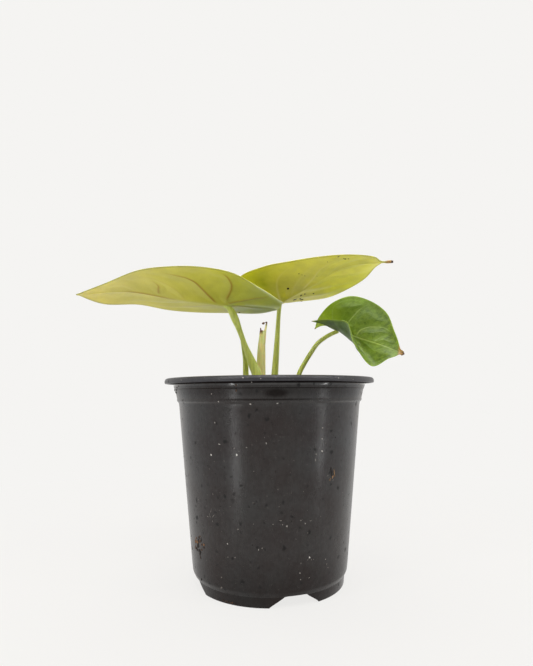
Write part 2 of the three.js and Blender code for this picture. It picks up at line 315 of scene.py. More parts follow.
def notchCutter(turn):
    edge, foot = potShape["notchEdge"], potShape["notchFoot"]
    outline = [(foot, -1.0)] + edge + [(-x, z) for x, z in edge[::-1]] + [(-foot, -1.0)]
    points, faces = prism(outline, *potShape["notchDepth"])
    c, s = cos(radians(turn)), sin(radians(turn))
    return [(c * x - s * y, s * x + c * y, z) for x, y, z in points], faces


def drainCutter(turn):
    r, sides = potShape["drainRadius"], potShape["drainSides"]
    ring = np.linspace(0, 2 * pi, sides, endpoint=False)
    x, y = potShape["drainRing"] * cos(turn), potShape["drainRing"] * sin(turn)
    points = [(x + r * cos(a), y + r * sin(a), z) for z in potShape["drainDepth"] for a in ring]
    faces = [tuple(range(sides - 1, -1, -1)), tuple(range(sides, 2 * sides))]
    return points, faces + ringFaces(2, sides)


def cutWith(piece, cutters):
    points, faces = [], []
    for cutPoints, cutFaces in cutters:
        faces += [tuple(len(points) + k for k in face) for face in cutFaces]
        points += cutPoints
    cutter = meshPiece("cutter", np.array(points) * mm, faces, piece.data.materials[0], smooth=False)
    cut = piece.modifiers.new("cut", "BOOLEAN")
    cut.object = cutter
    cut.solver = "EXACT"
    shaped = bpy.data.meshes.new_from_object(piece.evaluated_get(bpy.context.evaluated_depsgraph_get()))
    piece.modifiers.clear()
    piece.data = shaped
    bpy.data.objects.remove(cutter)


potLook = {
    "plastic": [(0.3, "#120e0c"), (0.7, "#1f1614")],
    "wet": "#0f0e0e",
    "lip": "#2a292d",
    "dust": "#8f8a82",
    # The collar's reflection drops to painted shade in the groove at 113.5 mm and under the lip from 116.2
    # to 116.9 mm
    "collar": [  # height in mm, from the ledge up to the lip, and how well it reflects there
        (106.8, 0.5), (108.5, 0.5), (110.8, 0.37), (113.1, 0.33), (113.5, 0.06), (114.0, 0.4), (114.9, 0.4),
        (115.2, 0.7), (116.0, 0.7), (116.2, 0.06), (116.9, 0.06), (117.1, 0.5),
    ],
    "collarFrom": 105,
    "collarTo": 121,
    "paintedDarkReflection": (0.0036, -0.057, 0.1108),  # m, the middle of a dull place under the lip, a painted dark reflection at the front
}


def recycledPolypropylene():
    # Moulded recycled polypropylene, a warm black with a satin sheen, faint flow streaks and dried water
    # spots, with dust on its lip, less reflection towards the foot and painted shade under the lip and at
    # the front of the collar
    look = potLook
    material, add = newMaterial("moulded_recycled_polypropylene")
    place = add("TexCoord").outputs["Object"]
    height = add("SeparateXYZ", {0: place}).outputs["Z"]

    flow = add("Mapping", {"Vector": place, "Scale": (1, 1, 0.05)})
    streak = add("TexNoise", {"Vector": flow, "Scale": 260.0, "Detail": 4.0})
    cloud = add("TexNoise", {"Vector": place, "Scale": 45.0, "Detail": 5.0, "Roughness": 0.6})
    grain = add("TexNoise", {"Vector": place, "Scale": 2600.0, "Detail": 2.0})  # 0.4 mm mould grain
    tint = add("ValToRGB", {0: cloud}, stops=look["plastic"])

    # Dried drops, one to a 4 mm cell, most of them small
    wander = add("TexNoise", {"Vector": place, "Scale": 300.0, "Detail": 2.0})
    shifted = add("Mix", {0: 0.0032, 4: place, 5: wander.outputs["Color"]}, data_type="VECTOR")
    spots = add("TexVoronoi", {"Vector": shifted, "Scale": 230.0})
    chosen = add("SeparateColor", {0: spots.outputs["Color"]})
    size = add("MapRange", {0: chosen, 1: 0.25, 2: 1.0, 3: 0.0, 4: 0.34})
    inside = add("Math", {0: size, 1: spots}, operation="SUBTRACT")
    wet = add("MapRange", {0: inside, 1: -0.04, 2: 0.17, 4: 0.85})

    onLip = add("MapRange", {0: height, 1: 0.1166, 2: 0.1171})
    darker = add("Mix", {0: wet, 6: tint, 7: look["wet"]}, data_type="RGBA")
    lipTone = add("Mix", {0: onLip, 6: darker, 7: look["lip"]}, data_type="RGBA")
    dust = add("TexNoise", {"Vector": place, "Scale": 900.0, "Detail": 3.0, "Roughness": 0.7})
    dustShare = add("MapRange", {0: height, 1: 0.1163, 2: 0.118, 3: 0.16, 4: 0.5})
    dusty = add("MapRange", {0: dust, 1: 0.62, 2: 0.76, 3: 0.0, 4: dustShare})
    colour = add("Mix", {0: dusty, 6: lipTone, 7: look["dust"]}, data_type="RGBA")

    satin = add("MapRange", {0: streak, 1: 0.3, 2: 0.7, 3: 0.25, 4: 0.3})
    polished = add("MapRange", {0: height, 1: 0.115, 2: 0.1155, 3: satin, 4: 0.11})
    lipped = add("MapRange", {0: onLip, 3: polished, 4: 0.42})
    rough = add("Math", {0: wet, 1: 0.3, 2: lipped}, operation="MULTIPLY_ADD")

    # How well the plastic reflects: less towards the foot and in blotches, with painted shade in the
    # collar's dark bands and a painted dark reflection at the front
    low, high = look["collarFrom"], look["collarTo"]
    upCollar = add("MapRange", {0: height, 1: low * mm, 2: high * mm})
    # Painted shade in the groove and under the lip, as weak reflection
    collarShineAndShade = [((z - low) / (high - low), shine) for z, shine in look["collar"]]
    collar = add("ValToRGB", {0: upCollar}, stops=collarShineAndShade)
    foot = add("MapRange", {0: height, 1: 0.028, 2: 0.005, 3: 1.0, 4: 0.5})
    # A painted dark reflection: the front of the collar reflects less around this place
    fromDarkReflection = add("VectorMath", {0: place, 1: look["paintedDarkReflection"]}, operation="SUBTRACT")
    darkReflectionWay = add("VectorMath", {0: fromDarkReflection, 1: (170.0, 40.0, 450.0)}, operation="MULTIPLY")
    darkReflectionReach = add("VectorMath", {0: darkReflectionWay}, operation="LENGTH")
    paintedDarkReflection = add("MapRange", {0: darkReflectionReach, 1: 0.5, 2: 1.5, 3: 0.3}, interpolation_type="SMOOTHSTEP")
    fleck = add("TexNoise", {"Vector": place, "Scale": 430.0, "Detail": 3.0, "Roughness": 0.6})
    uneven = add("Math", {0: fleck, 1: 0.7, 2: cloud}, operation="MULTIPLY_ADD")
    blotch = add("MapRange", {0: uneven, 1: 0.65, 2: 1.05, 3: 1.2, 4: 0.78})
    dull = collar
    for share in (foot, paintedDarkReflection, blotch):
        dull = add("Math", {0: dull, 1: share}, operation="MULTIPLY")
    shine = add("MapRange", {0: wet, 1: 0.0, 2: 0.85, 3: dull, 4: 0.25})

    bumpHeight = add("Math", {0: streak, 1: 0.25, 2: grain}, operation="MULTIPLY_ADD")
    bump = add("Bump", {"Height": bumpHeight, "Strength": 0.04, "Distance": 0.0001})
    shader = add("BsdfPrincipled", {"Base Color": colour, "Roughness": rough, "IOR": 1.49,
                                               "Specular IOR Level": shine, "Normal": bump})
    add("OutputMaterial", {"Surface": shader})
    return material


def makePot():
    shape = potShape
    outline = roundedOutline(shape["outline"], shape["cornerRadius"], shape["cornerSteps"])
    # Straight walls get rings of their own, so that long thin faces don't streak the shading
    full = []
    for a, b in zip(outline, outline[1:]):
        parts = max(1, int(np.linalg.norm(b - a) / shape["ringStep"]))
        full += [a + (b - a) * t for t in np.linspace(0, 1, parts, endpoint=False)]
    full.append(outline[-1])
    full = [(0.0, 0.0)] + [tuple(p) for p in full] + [(0.0, shape["insideFloor"])]
    sides = shape["sides"]
    points = lathePoints(full[1:-1], sides)
    count = len(full) - 2
    points = np.concatenate([points, [(0, 0, full[0][1]), (0, 0, full[-1][1])]])
    faces = ringFaces(count, sides)
    faces += [(len(points) - 2, (k + 1) % sides, k) for k in range(sides)]
    last = (count - 1) * sides
    faces += [(len(points) - 1, last + k, last + (k + 1) % sides) for k in range(sides)]
    pot = meshPiece("pot_moulding", points * mm, faces, recycledPolypropylene())
    notches, drains = shape["notches"], shape["drains"]
    cutters = [notchCutter(shape["notchTurn"] + i * 360 / notches) for i in range(notches)]
    cutters += [drainCutter(2 * pi * (i + 0.5) / drains) for i in range(drains)]
    cutWith(pot, cutters)
    for corner in pot.data.vertices:
        corner.co.x -= shape["lean"] * mm * (1 - corner.co.z / mm / shape["height"])
    pot.data.shade_smooth()
    pot.data.set_sharp_from_angle(angle=radians(shape["sharpAngle"]))
    replaceNode(pot, "pot")


makePot()
print("pot made")


# Leaves

# A blade is laid out by x, from 0 where the stalk joins to 1 at the tip and below 0 on the back lobes, and
# by v, from 0 at the midrib to 1 at the edge. Places, widths and heights are in mm.
lobeReach = 1 / 3  # back lobes, as a share of the length from stalk to tip
bladeLook = {
    "columns": 210,
    "rows": 84,
    "thickness": 0.6,
    "edgeThickness": 0.42,
    "edgeTaper": 6,
    "ribWidths": (1.25, 0.4),  # at the stalk and at the tip
    "ribHeight": 0.75,
    "lobeRibWidths": (0.9, 0.4),
    "veinHeight": 0.35,
    "topRelief": 0.35,  # what shows above of the veins' height below
    "haloWidths": (3.2, 2.4),  # paler flesh along the midrib and the side veins
    "marginWidths": (1.6, 0.8),  # on the lobes and on the blade
    "weld": 0.002,
    "lobeVein": [(0, 0), (-0.12, 0.4), (-0.29, 0.57)],
}
leafMarks = ("vein", "rib", "halo", "margin", "under", "alongBlade", "dry", "patch", "pale", "tone")
leftBlade = {
    "midrib": [(-23.5, -15, 164.3), (-53, -18, 167.5), (-85, -21, 172.6), (-114.85, -25, 169.9)],
    "right": {
        "edge": [(6, -2, 163.8), (-7, 8, 163.2), (-27, 17, 165.2), (-48, 18, 165.9), (-67, 14, 167),
                 (-85.3, 6, 169.4), (-102.4, -10, 166.9), (-114.85, -25, 169.9)],
        "sinus": (-8, -10, 170),
        "belly": [(0, 0, 0), (0, 0, 1), (0, 0, 2), (0, 0, 2), (0, 0, 0)],
        "veins": [(0.5, [(0.05, 0), (0.16, 0.26), (0.3, 0.56), (0.46, 0.76), (0.62, 0.86)]),
                  (0.3, [(0.02, 0), (0.02, 0.34), (0.04, 0.66), (0.1, 0.88)]),
                  (0.15, [(0.28, 0), (0.4, 0.33), (0.54, 0.6), (0.7, 0.8)])],
    },
    "left": {
        "edge": [(8.7, -27, 163.7), (-4.7, -40, 169.7), (-19.7, -48, 176.6), (-37, -51, 179.5),
                 (-55, -49, 180.4), (-74, -43, 179.7), (-95.2, -33, 174.7), (-114.85, -25, 169.9)],
        "sinus": (-7.8, -19, 164),
        "heel": (6.4, -25.4, 160.4),
        "belly": [(0, 0, 0), (0, 0, 1), (0, 0, 2), (0, 0, 2), (0, 0, 0)],
        "lobeVein": [(0.011, 0.107), (-0.079, 0.264), (-0.17, 0.56), (-0.206, 0.755), (-0.22, 0.9)],
        "lobeShown": 0.6,
        # Each vein: strength, its places as x and v, and for some where its colour comes in and goes out
        "veins": [(1.0, [(0.05, 0), (0.101, 0.057), (0.135, 0.151), (0.175, 0.27), (0.221, 0.421),
                         (0.261, 0.547), (0.315, 0.642), (0.382, 0.704), (0.442, 0.755), (0.522, 0.83)],
                   0.2, 0.58),
                  (0.85, [(0.02, 0), (0.032, 0.1), (0.038, 0.214), (0.031, 0.377), (0.028, 0.541),
                          (0.034, 0.66), (0.051, 0.761), (0.074, 0.849), (0.098, 0.893), (0.128, 0.906)],
                   0.28, 0.75),
                  (0.15, [(0.3, 0), (0.38, 0.28), (0.5, 0.52), (0.66, 0.74)]),
                  (0.75, [(0.475, 0.02), (0.482, 0.2), (0.485, 0.33), (0.529, 0.49)], 0.2, 0.6),
                  (0.1, [(0.6, 0), (0.7, 0.36), (0.82, 0.66)])],
    },
    "ribShown": (0.9, 0.3, 0.5, 0.58, 0.76),  # strength of its colour below, where it comes in and goes out
    "ribTop": 1.0,
    "veinTop": 0.8,
    # Each spot of painted light or shade: side, x, v, reach in mm and strength
    "paintedShadingSpots": [("right", -0.2, 0.5, 14, 1.0), ("right", -0.06, 0.7, 8, 0.8),
                ("left", -0.01, 0.065, 2, 0.6), ("left", -0.1, 0.085, 1.6, 0.4)],
    "quilt": 0.7,
    "veinWidth": 0.8,
    "tip": {"half": 1.2, "start": 0.985, "flare": 1800, "roll": 0.4,
            "dry": (1.2, 1.3), "dark": (1.2, 1.3)},
}
rightBlade = {
    "midrib": [(8.2, 8, 170.5), (25.7, -13, 176.9), (46.2, -34, 184.2), (67.9, -52.2, 181.4)],
    "right": {
        # Tone sets each half's underside lightness, higher on the left half, away from the left blade's
        # shade: painted light and shade
        "tone": 1.02,
        "edge": [(-21.3, 14, 172.5), (-18.9, -9, 182.7), (-3.6, -23.5, 186.4), (13, -36, 186.5),
                 (28.4, -46, 186.2), (43, -53.5, 185.1), (56.6, -56, 183.3), (67.9, -52.2, 181.4)],
        "sinus": (-6.4, 11, 170.5),
        "belly": [(0, 0, 0), (0, 0, -2), (0, 0, -2), (0, 0, 0), (0, 0, 0)],
        "veins": [(1.0, [(0.25, 0), (0.36, 0.26), (0.44, 0.55), (0.57, 0.8)]),
                  (0.9, [(0.01, 0), (0.034, 0.21), (0.1, 0.62), (0.22, 0.86)]),
                  (0.3, [(0.12, 0), (0.22, 0.34), (0.34, 0.66), (0.46, 0.85)]),
                  (0.35, [(0.48, 0), (0.58, 0.36), (0.7, 0.7)])],
    },
    "left": {
        # Painted light: this half's underside is made lighter
        "tone": 1.12,
        "edge": [(-2.6, 34, 172.5), (11, 34, 175.6), (25.6, 28, 175.2), (40.3, 16, 175.2), (51.4, 1, 177.7),
                 (59.4, -15, 180.7), (63.4, -34, 184), (67.9, -52.2, 181.4)],
        "sinus": (1.6, 21, 170.2),
        "belly": [(0, 0, 0), (0, 0, -1), (0, 0, 0), (0, 0, 0), (0, 0, 0)],
        "veins": [(0.3, [(0.04, 0), (0.14, 0.3), (0.26, 0.6), (0.42, 0.84)]),
                  (0.3, [(0.02, 0), (0.02, 0.4), (0.08, 0.82)]),
                  (0.35, [(0.25, 0), (0.38, 0.36), (0.54, 0.74)]),
                  (0.35, [(0.48, 0), (0.6, 0.4), (0.74, 0.76)])],
    },
    "ribShown": (0.3, 0.0, 0.1, 0.5, 0.9),
    "ribTop": 1.0,
    "veinTop": 0.8,
    # Painted shade by the sinus, on the half in the left blade's shade
    "paintedShadingSpots": [("right", -0.016, 0.6, 2.4, 0.5), ("right", -0.01, 0.72, 2.2, 0.25)],
    "quilt": 0.7,
    "veinWidth": 0.7,
    "tip": {"half": 1.35, "start": 0.93, "flare": 900, "roll": 0.8,
            "dry": (0.93, 0.965), "dark": (0.975, 0.988)},
}
smallBlade = {
    "midrib": [(45.3, 0, 150.4), (55.5, -13, 144.1), (66, -25, 138.5), (76.2, -36, 132.3)],
    "right": {
        "edge": [(27.6, 2, 156.9), (34.7, -7, 156.5), (41, -16, 154.8), (46.8, -24, 152),
                 (48.8, -31, 139.8), (57.2, -36, 125.9), (67.4, -38, 129.9), (75.5, -36.3, 131.8)],
        "sinus": (36.3, 2, 155.8),
        "belly": [(0, 0, 0), (0, 0, -5), (2, -2, -17), (0, -2, -5), (0, 0, 0)],
        "veins": [(0.3, [(0.05, 0), (0.16, 0.3), (0.28, 0.6), (0.4, 0.75)]),
                  (0.3, [(0.3, 0), (0.42, 0.34), (0.56, 0.62), (0.7, 0.75)])],
    },
    "left": {
        "edge": [(31.3, 20, 153.8), (34.6, 18, 162.3), (42.9, 15, 170.9), (54.2, 8, 174.3),
                 (64.8, -1, 169.7), (72.9, -12, 160), (74.5, -24, 146.5), (76, -36.2, 133)],
        "sinus": (36.8, 12, 158.2),
        "belly": [(0, 0, 0), (0, 3, 0), (0, 4, -1), (0, 3, 0), (0, 0, 0)],
        "veins": [(0.75, [(0.19, 0.33), (0.25, 0.47), (0.3, 0.6), (0.35, 0.73), (0.43, 0.9)]),
                  (0.75, [(0.285, 0), (0.35, 0.2), (0.46, 0.35), (0.55, 0.44), (0.67, 0.59), (0.76, 0.72)]),
                  (0.4, [(0.0, 0.04), (-0.016, 0.38), (0.044, 0.82), (0.12, 0.9), (0.22, 0.915),
                         (0.39, 0.9), (0.6, 0.88)]),
                  (0.3, [(0.55, 0), (0.66, 0.28), (0.8, 0.6)])],
    },
    "ribShown": (0.5, 0.0, 0.1, 0.8, 1.0),
    "ribTop": 0.85,
    "veinTop": 0.0,
    # Painted light along the left half's upper edge, which faces away from the light
    "paintedShadingSpots": [("left", 0.06, 0.86, 5, 0.6), ("left", 0.19, 0.92, 4.5, 0.35),
                ("left", 0.35, 0.93, 4.5, 0.35)],
    "quilt": 0.6,
    "veinWidth": 0.4,
    "tip": {"half": 1.9, "start": 0.955, "flare": 900, "roll": 0.6,
            "dry": (0.9, 0.95), "dark": (0.965, 1.01), "cusp": 0.85},
}


def along(knots, t):
    # Smooth curve through evenly spaced knots
    knots = np.asarray(knots, float)
    last = len(knots) - 1
    padded = np.concatenate([[2 * knots[0] - knots[1]], knots, [2 * knots[-1] - knots[-2]]])
    s = np.clip(t, 0, 1) * last
    i = np.minimum(s.astype(int), last - 1)
    f = (s - i)[..., None]
    a, b, c, d = (padded[i + n] for n in range(4))
    square, cube = 2 * a - 5 * b + 4 * c - d, 3 * b - a - 3 * c + d
    return 0.5 * (2 * b + (c - a) * f + square * f ** 2 + cube * f ** 3)


def bend(a, b, c, t):
    t = t[..., None]
    return (1 - t) ** 2 * a + 2 * t * (1 - t) * b + t * t * c


def bladePoint(leaf, side, x, v):
    half = leaf[side]
    share = (x + lobeReach) / (1 + lobeReach)
    knots = (leaf["midrib"][0], half["sinus"], half.get("heel", half["edge"][0]))
    lobe = bend(*np.array(knots), np.clip(-x / lobeReach, 0, 1))
    inner = np.where((x < 0)[..., None], lobe, along(leaf["midrib"], x))
    outer = along(half["edge"], share)
    # The last stretch draws in to a narrow tip
    tip = leaf["tip"]
    reach = np.linalg.norm(outer - inner, axis=-1)
    room = tip["half"] * ease((1 - x) / (1 - tip["start"]), 0, 0.3)
    room += tip["flare"] * np.maximum(tip["start"] - x, 0) ** 1.8
    slim = 1 / (1 + (reach / np.maximum(room, 0.001)) ** 4)[..., None] ** 0.25
    outer = inner + (outer - inner) * slim
    return bend(inner, (inner + outer) / 2 + along(half["belly"], share) * slim, outer, v)


def bladeNormal(leaf, side, x, v):
    dx, dv = 0.01, 0.04
    x = np.clip(x, -lobeReach + 3 * dx, 1 - 3 * dx)
    v = np.clip(v, dv, 1 - dv)
    lengthwise = bladePoint(leaf, side, x + dx, v) - bladePoint(leaf, side, x - dx, v)
    sideways = bladePoint(leaf, side, x, v + dv) - bladePoint(leaf, side, x, v - dv)
    up = np.cross(sideways, lengthwise) if side == "right" else np.cross(lengthwise, sideways)
    return up / np.linalg.norm(up, axis=-1, keepdims=True)


def ease(t, a=0.0, b=1.0):
    t = np.clip((t - a) / (b - a), 0, 1)
    return t * t * (3 - 2 * t)


def nearest(points, line):
    # Distance of each point to a sampled line, and how far along the line the nearest place is
    flat = points.reshape(-1, 3)
    best = np.full(len(flat), 1e9)
    where = np.zeros(len(flat))
    for t, p in zip(np.linspace(0, 1, len(line)), line):
        gap = np.linalg.norm(flat - p, axis=1)
        closer = gap < best
        best[closer], where[closer] = gap[closer], t
    return best.reshape(points.shape[:-1]), where.reshape(points.shape[:-1])


def veinLine(leaf, side, knots, samples=90):
    path = along(knots, np.linspace(0, 1, samples))
    return bladePoint(leaf, side, path[:, 0], np.clip(path[:, 1], 0, 1))


def bell(gap, width):
    return np.exp(-(gap / width) ** 2)


def drawVeins(leaf, side, place):
    # How strongly the veins show at each place, by mark, with their height and the gap to the nearest
    look, half = bladeLook, leaf[side]
    ribGap, ribAt = nearest(place, along(leaf["midrib"], np.linspace(0, 1, 160)))
    wide, narrow = look["ribWidths"]
    ribWidth = (wide - (wide - narrow) * ribAt) * min(1, leaf["veinWidth"] + 0.1)
    rib = bell(ribGap, ribWidth) * (1 - 0.6 * ribAt) * (1 - ease(ribAt, 0.9, 1.0))
    lobeGap, lobeAt = nearest(place, veinLine(leaf, side, half.get("lobeVein", look["lobeVein"])))
    wide, narrow = look["lobeRibWidths"]
    lobeRib = bell(lobeGap, wide - (wide - narrow) * lobeAt) * (1 - 0.7 * lobeAt)
    shown, *ends = leaf["ribShown"]
    shown *= ease(ribAt, ends[0], ends[1]) * (1 - ease(ribAt, ends[2], ends[3]))
    ribHalo, veinHalo = look["haloWidths"]
    marks = {
        "vein": np.maximum(bell(ribGap, 0.7) * shown, half.get("lobeShown", 0.25) * lobeRib),
        "pale": bell(ribGap, 0.9) * (1 - ease(ribAt, ends[0], ends[1])),
        "rib": np.maximum(leaf["ribTop"] * rib, lobeRib),
        "halo": bell(ribGap, ribHalo),
    }
    relief = look["ribHeight"] * np.maximum(rib, 0.8 * lobeRib)
    sideGap = np.minimum(ribGap, lobeGap)
    for strength, knots, *ends in half["veins"]:
        gap, at = nearest(place, veinLine(leaf, side, knots))
        fade = (1 - 0.85 * at ** 2) * (0.4 + 0.6 * ease(at, 0.02, 0.16))
        line = np.exp(-(gap / leaf["veinWidth"] / (1.0 - 0.4 * at)) ** 2) * fade
        colour = line
        if ends:
            colour = line / fade * ease(at, ends[0] - 0.12, ends[0]) * (1 - ease(at, ends[1], 1.0))
        marks["rib"] = np.maximum(marks["rib"], max(leaf["veinTop"], strength) * line)
        marks["vein"] = np.maximum(marks["vein"], strength * colour)
        marks["halo"] = np.maximum(marks["halo"], bell(gap, veinHalo) * fade)
        relief = np.maximum(relief, look["veinHeight"] * min(1, strength + 0.2) * line)
        sideGap = np.minimum(sideGap, gap)
    return marks, relief, sideGap


# Spots of painted light and shade on a blade
def paintShading(leaf, side, place):
    patch = np.zeros(place.shape[:-1])
    for owner, x, v, reach, strength in leaf["paintedShadingSpots"]:
        if owner == side:
            centre = bladePoint(leaf, side, np.array([x]), np.array([v]))
            patch = np.maximum(patch, strength * bell(np.linalg.norm(place - centre, axis=-1), reach))
    return patch


def skinFaces(side, lobeColumns, start, heel):
    # Upper skin, lower skin and the bands that close the edges between them
    shape = (bladeLook["columns"] + 1, bladeLook["rows"] + 1)
    index = np.arange(shape[0] * shape[1]).reshape(shape)
    quads = np.stack([index[:-1, :-1], index[:-1, 1:], index[1:, 1:], index[1:, :-1]], -1).reshape(-1, 4)
    turned = quads if side == "right" else quads[:, ::-1]
    faces = (turned + start).tolist() + (turned[:, ::-1] + start + index.size).tolist()
    rim, sinus, end = index[:, -1], index[:lobeColumns + 1, 0], index[0]
    bands = [(a, b, side == "left") for a, b in zip(rim[:-1], rim[1:])]
    bands += [(a, b, side == "left") for a, b in zip(sinus[1:], sinus[:-1])]
    if heel:
        bands += [(a, b, side == "right") for a, b in zip(end[:-1], end[1:])]
    for a, b, forward in bands:
        band = [start + b, start + a, start + a + index.size, start + b + index.size]
        faces.append(band if forward else band[::-1])
    return faces


def makeBlade(name, node, leaf, material):
    look, tip = bladeLook, leaf["tip"]
    columns, rows = look["columns"], look["rows"]
    lobeColumns = round(columns * lobeReach / (1 + lobeReach))
    xs = (np.arange(columns + 1) - lobeColumns) / (columns - lobeColumns)
    sides = ("right", "left")
    outlines = [bladePoint(leaf, side, xs, np.ones_like(xs)) for side in sides]
    outlines += [bladePoint(leaf, side, xs[:lobeColumns], np.zeros(lobeColumns)) for side in sides]
    edgeLine = np.concatenate(outlines)
    points, faces = [], []
    marks = {key: [] for key in leafMarks}
    for side in sides:
        x = np.repeat(xs[:, None], rows + 1, 1)
        v = np.repeat(np.linspace(0, 1, rows + 1)[None, :], columns + 1, 0)
        heel = "heel" in leaf[side]
        if not heel:
            v = np.where(x <= -lobeReach, 1.0, v)
        place = bladePoint(leaf, side, x, v)
        up = bladeNormal(leaf, side, x, v)
        joined = up[:, :1] + bladeNormal(leaf, "left" if side == "right" else "right", x[:, :1], v[:, :1])
        onRib = (x[:, :1] >= 0)[..., None]
        up[:, :1] = np.where(onRib, joined / np.linalg.norm(joined, axis=-1, keepdims=True), up[:, :1])

        seen, relief, sideGap = drawVeins(leaf, side, place)
        edgeGap, _ = nearest(place, edgeLine)
        swell = leaf["quilt"] * ease(sideGap, 0.5, 6.5) * ease(edgeGap, 0.5, 8.0)
        depth = look["thickness"] - look["edgeThickness"]
        depth = look["edgeThickness"] + depth * ease(edgeGap, 0, look["edgeTaper"])
        depth += tip["roll"] * ease(x, tip["start"], tip["start"] + 0.03)
        ridge = relief * ease(edgeGap, 0, 1.5)
        top = place + up * (swell + depth / 2 - look["topRelief"] * ridge)[..., None]
        bottom = place + up * (swell - depth / 2 - ridge)[..., None]
        faces += skinFaces(side, lobeColumns, len(points), heel)
        points.extend(top.reshape(-1, 3))
        points.extend(bottom.reshape(-1, 3))

        seen["margin"] = bell(edgeGap, np.where(x < -0.1, *look["marginWidths"]))
        seen["alongBlade"] = x
        seen["dry"] = 0.5 * ease(x, *tip["dry"]) + 0.5 * ease(x, *tip["dark"])
        seen["dry"] += tip.get("cusp", 0) * ease(-x, 0.295, 0.33)
        seen["patch"] = paintShading(leaf, side, place)
        seen["tone"] = np.full_like(x, leaf[side].get("tone", 1.0))
        for key, values in seen.items():
            marks[key].extend(np.tile(values.reshape(-1), 2))
        marks["under"].extend([0.0] * x.size + [1.0] * x.size)
    piece = meshPiece(name, np.array(points) * mm, faces, material, attributes=marks)
    mendMesh(piece, look["weld"] * mm)
    piece.data.shade_smooth()
    replaceNode(piece, node)


leafLook = {
    "gold": {
        "name": "gold_leaf_tissue",
        "top": [(0.0, "#828a26"), (1.0, "#8e932e")], "topPale": "#a2a64e", "topVein": "#b9bd72",
        # Underside: grey-green on the back lobes as a painted sheen, and paler over the middle of the blade
        # above the pot, where less light reaches it: partly painted light
        "under": [(0.05, "#a8b156"), (0.22, "#bdbf4c"), (0.4, "#c9c650"), (0.6, "#c5bf51"),
                  (0.8, "#cdc56b"), (1.0, "#d6cb7b")],
        "vein": "#a07a1a", "pale": "#d6d592", "haloShare": 0.35,
        # The pale lobe edge is partly the thin margin's own paleness and partly a painted highlight where it
        # catches the light
        "margin": "#8f8d40", "marginShare": 0.75, "lobeEdge": "#ccd3ae",
        # Pale grey-green painted light and sheen on the far back lobe and by the sinus
        "patch": "#b3bf7c", "paintedShadingTop": 0.0, "mottle": 0.2, "mottleScale": 110.0,
    },
    "goldRight": {
        "name": "gold_leaf_tissue_right",
        "top": [(0.0, "#828a26"), (1.0, "#8e932e")], "topPale": "#a2a64e", "topVein": "#b9bd72",
        "under": [(0.0, "#dad640"), (0.14, "#dad540"), (0.22, "#cccb3c"), (0.32, "#d1cd54"),
                  (0.6, "#d3cf64"), (1.0, "#d4d070")],
        "vein": "#e2dc88", "pale": "#d4cf66", "haloShare": 0.35,
        "margin": "#9a9534", "marginShare": 0.75, "lobeEdge": "#b4a638",
        # Darker green painted shade
        "patch": "#9aa414", "paintedShadingTop": 0.0, "mottle": 0.24, "mottleScale": 110.0,
    },
    "green": {
        "name": "green_leaf_tissue",
        # The top is a pale yellow-green on the back lobe and near the stalk, which face away from the light:
        # painted light
        "top": [(0.0, "#cde046"), (0.2, "#b0ca34"), (0.36, "#6b8820"), (0.5, "#526d10"), (1.0, "#44590c")],
        "topPale": "#86a034", "topVein": "#b9c874",
        "under": [(0.0, "#5f7746"), (0.5, "#67804e"), (1.0, "#728a58")],
        "vein": "#8fa36c", "pale": "#8fa36c", "haloShare": 0.12,
        "margin": "#96ad36", "marginShare": 0.5, "lobeEdge": "#96ad36",
        # Yellow-green painted light, shown on top as well
        "patch": "#9ab83e", "paintedShadingTop": 1.0, "mottle": 0.5, "mottleScale": 330.0,
    },
}


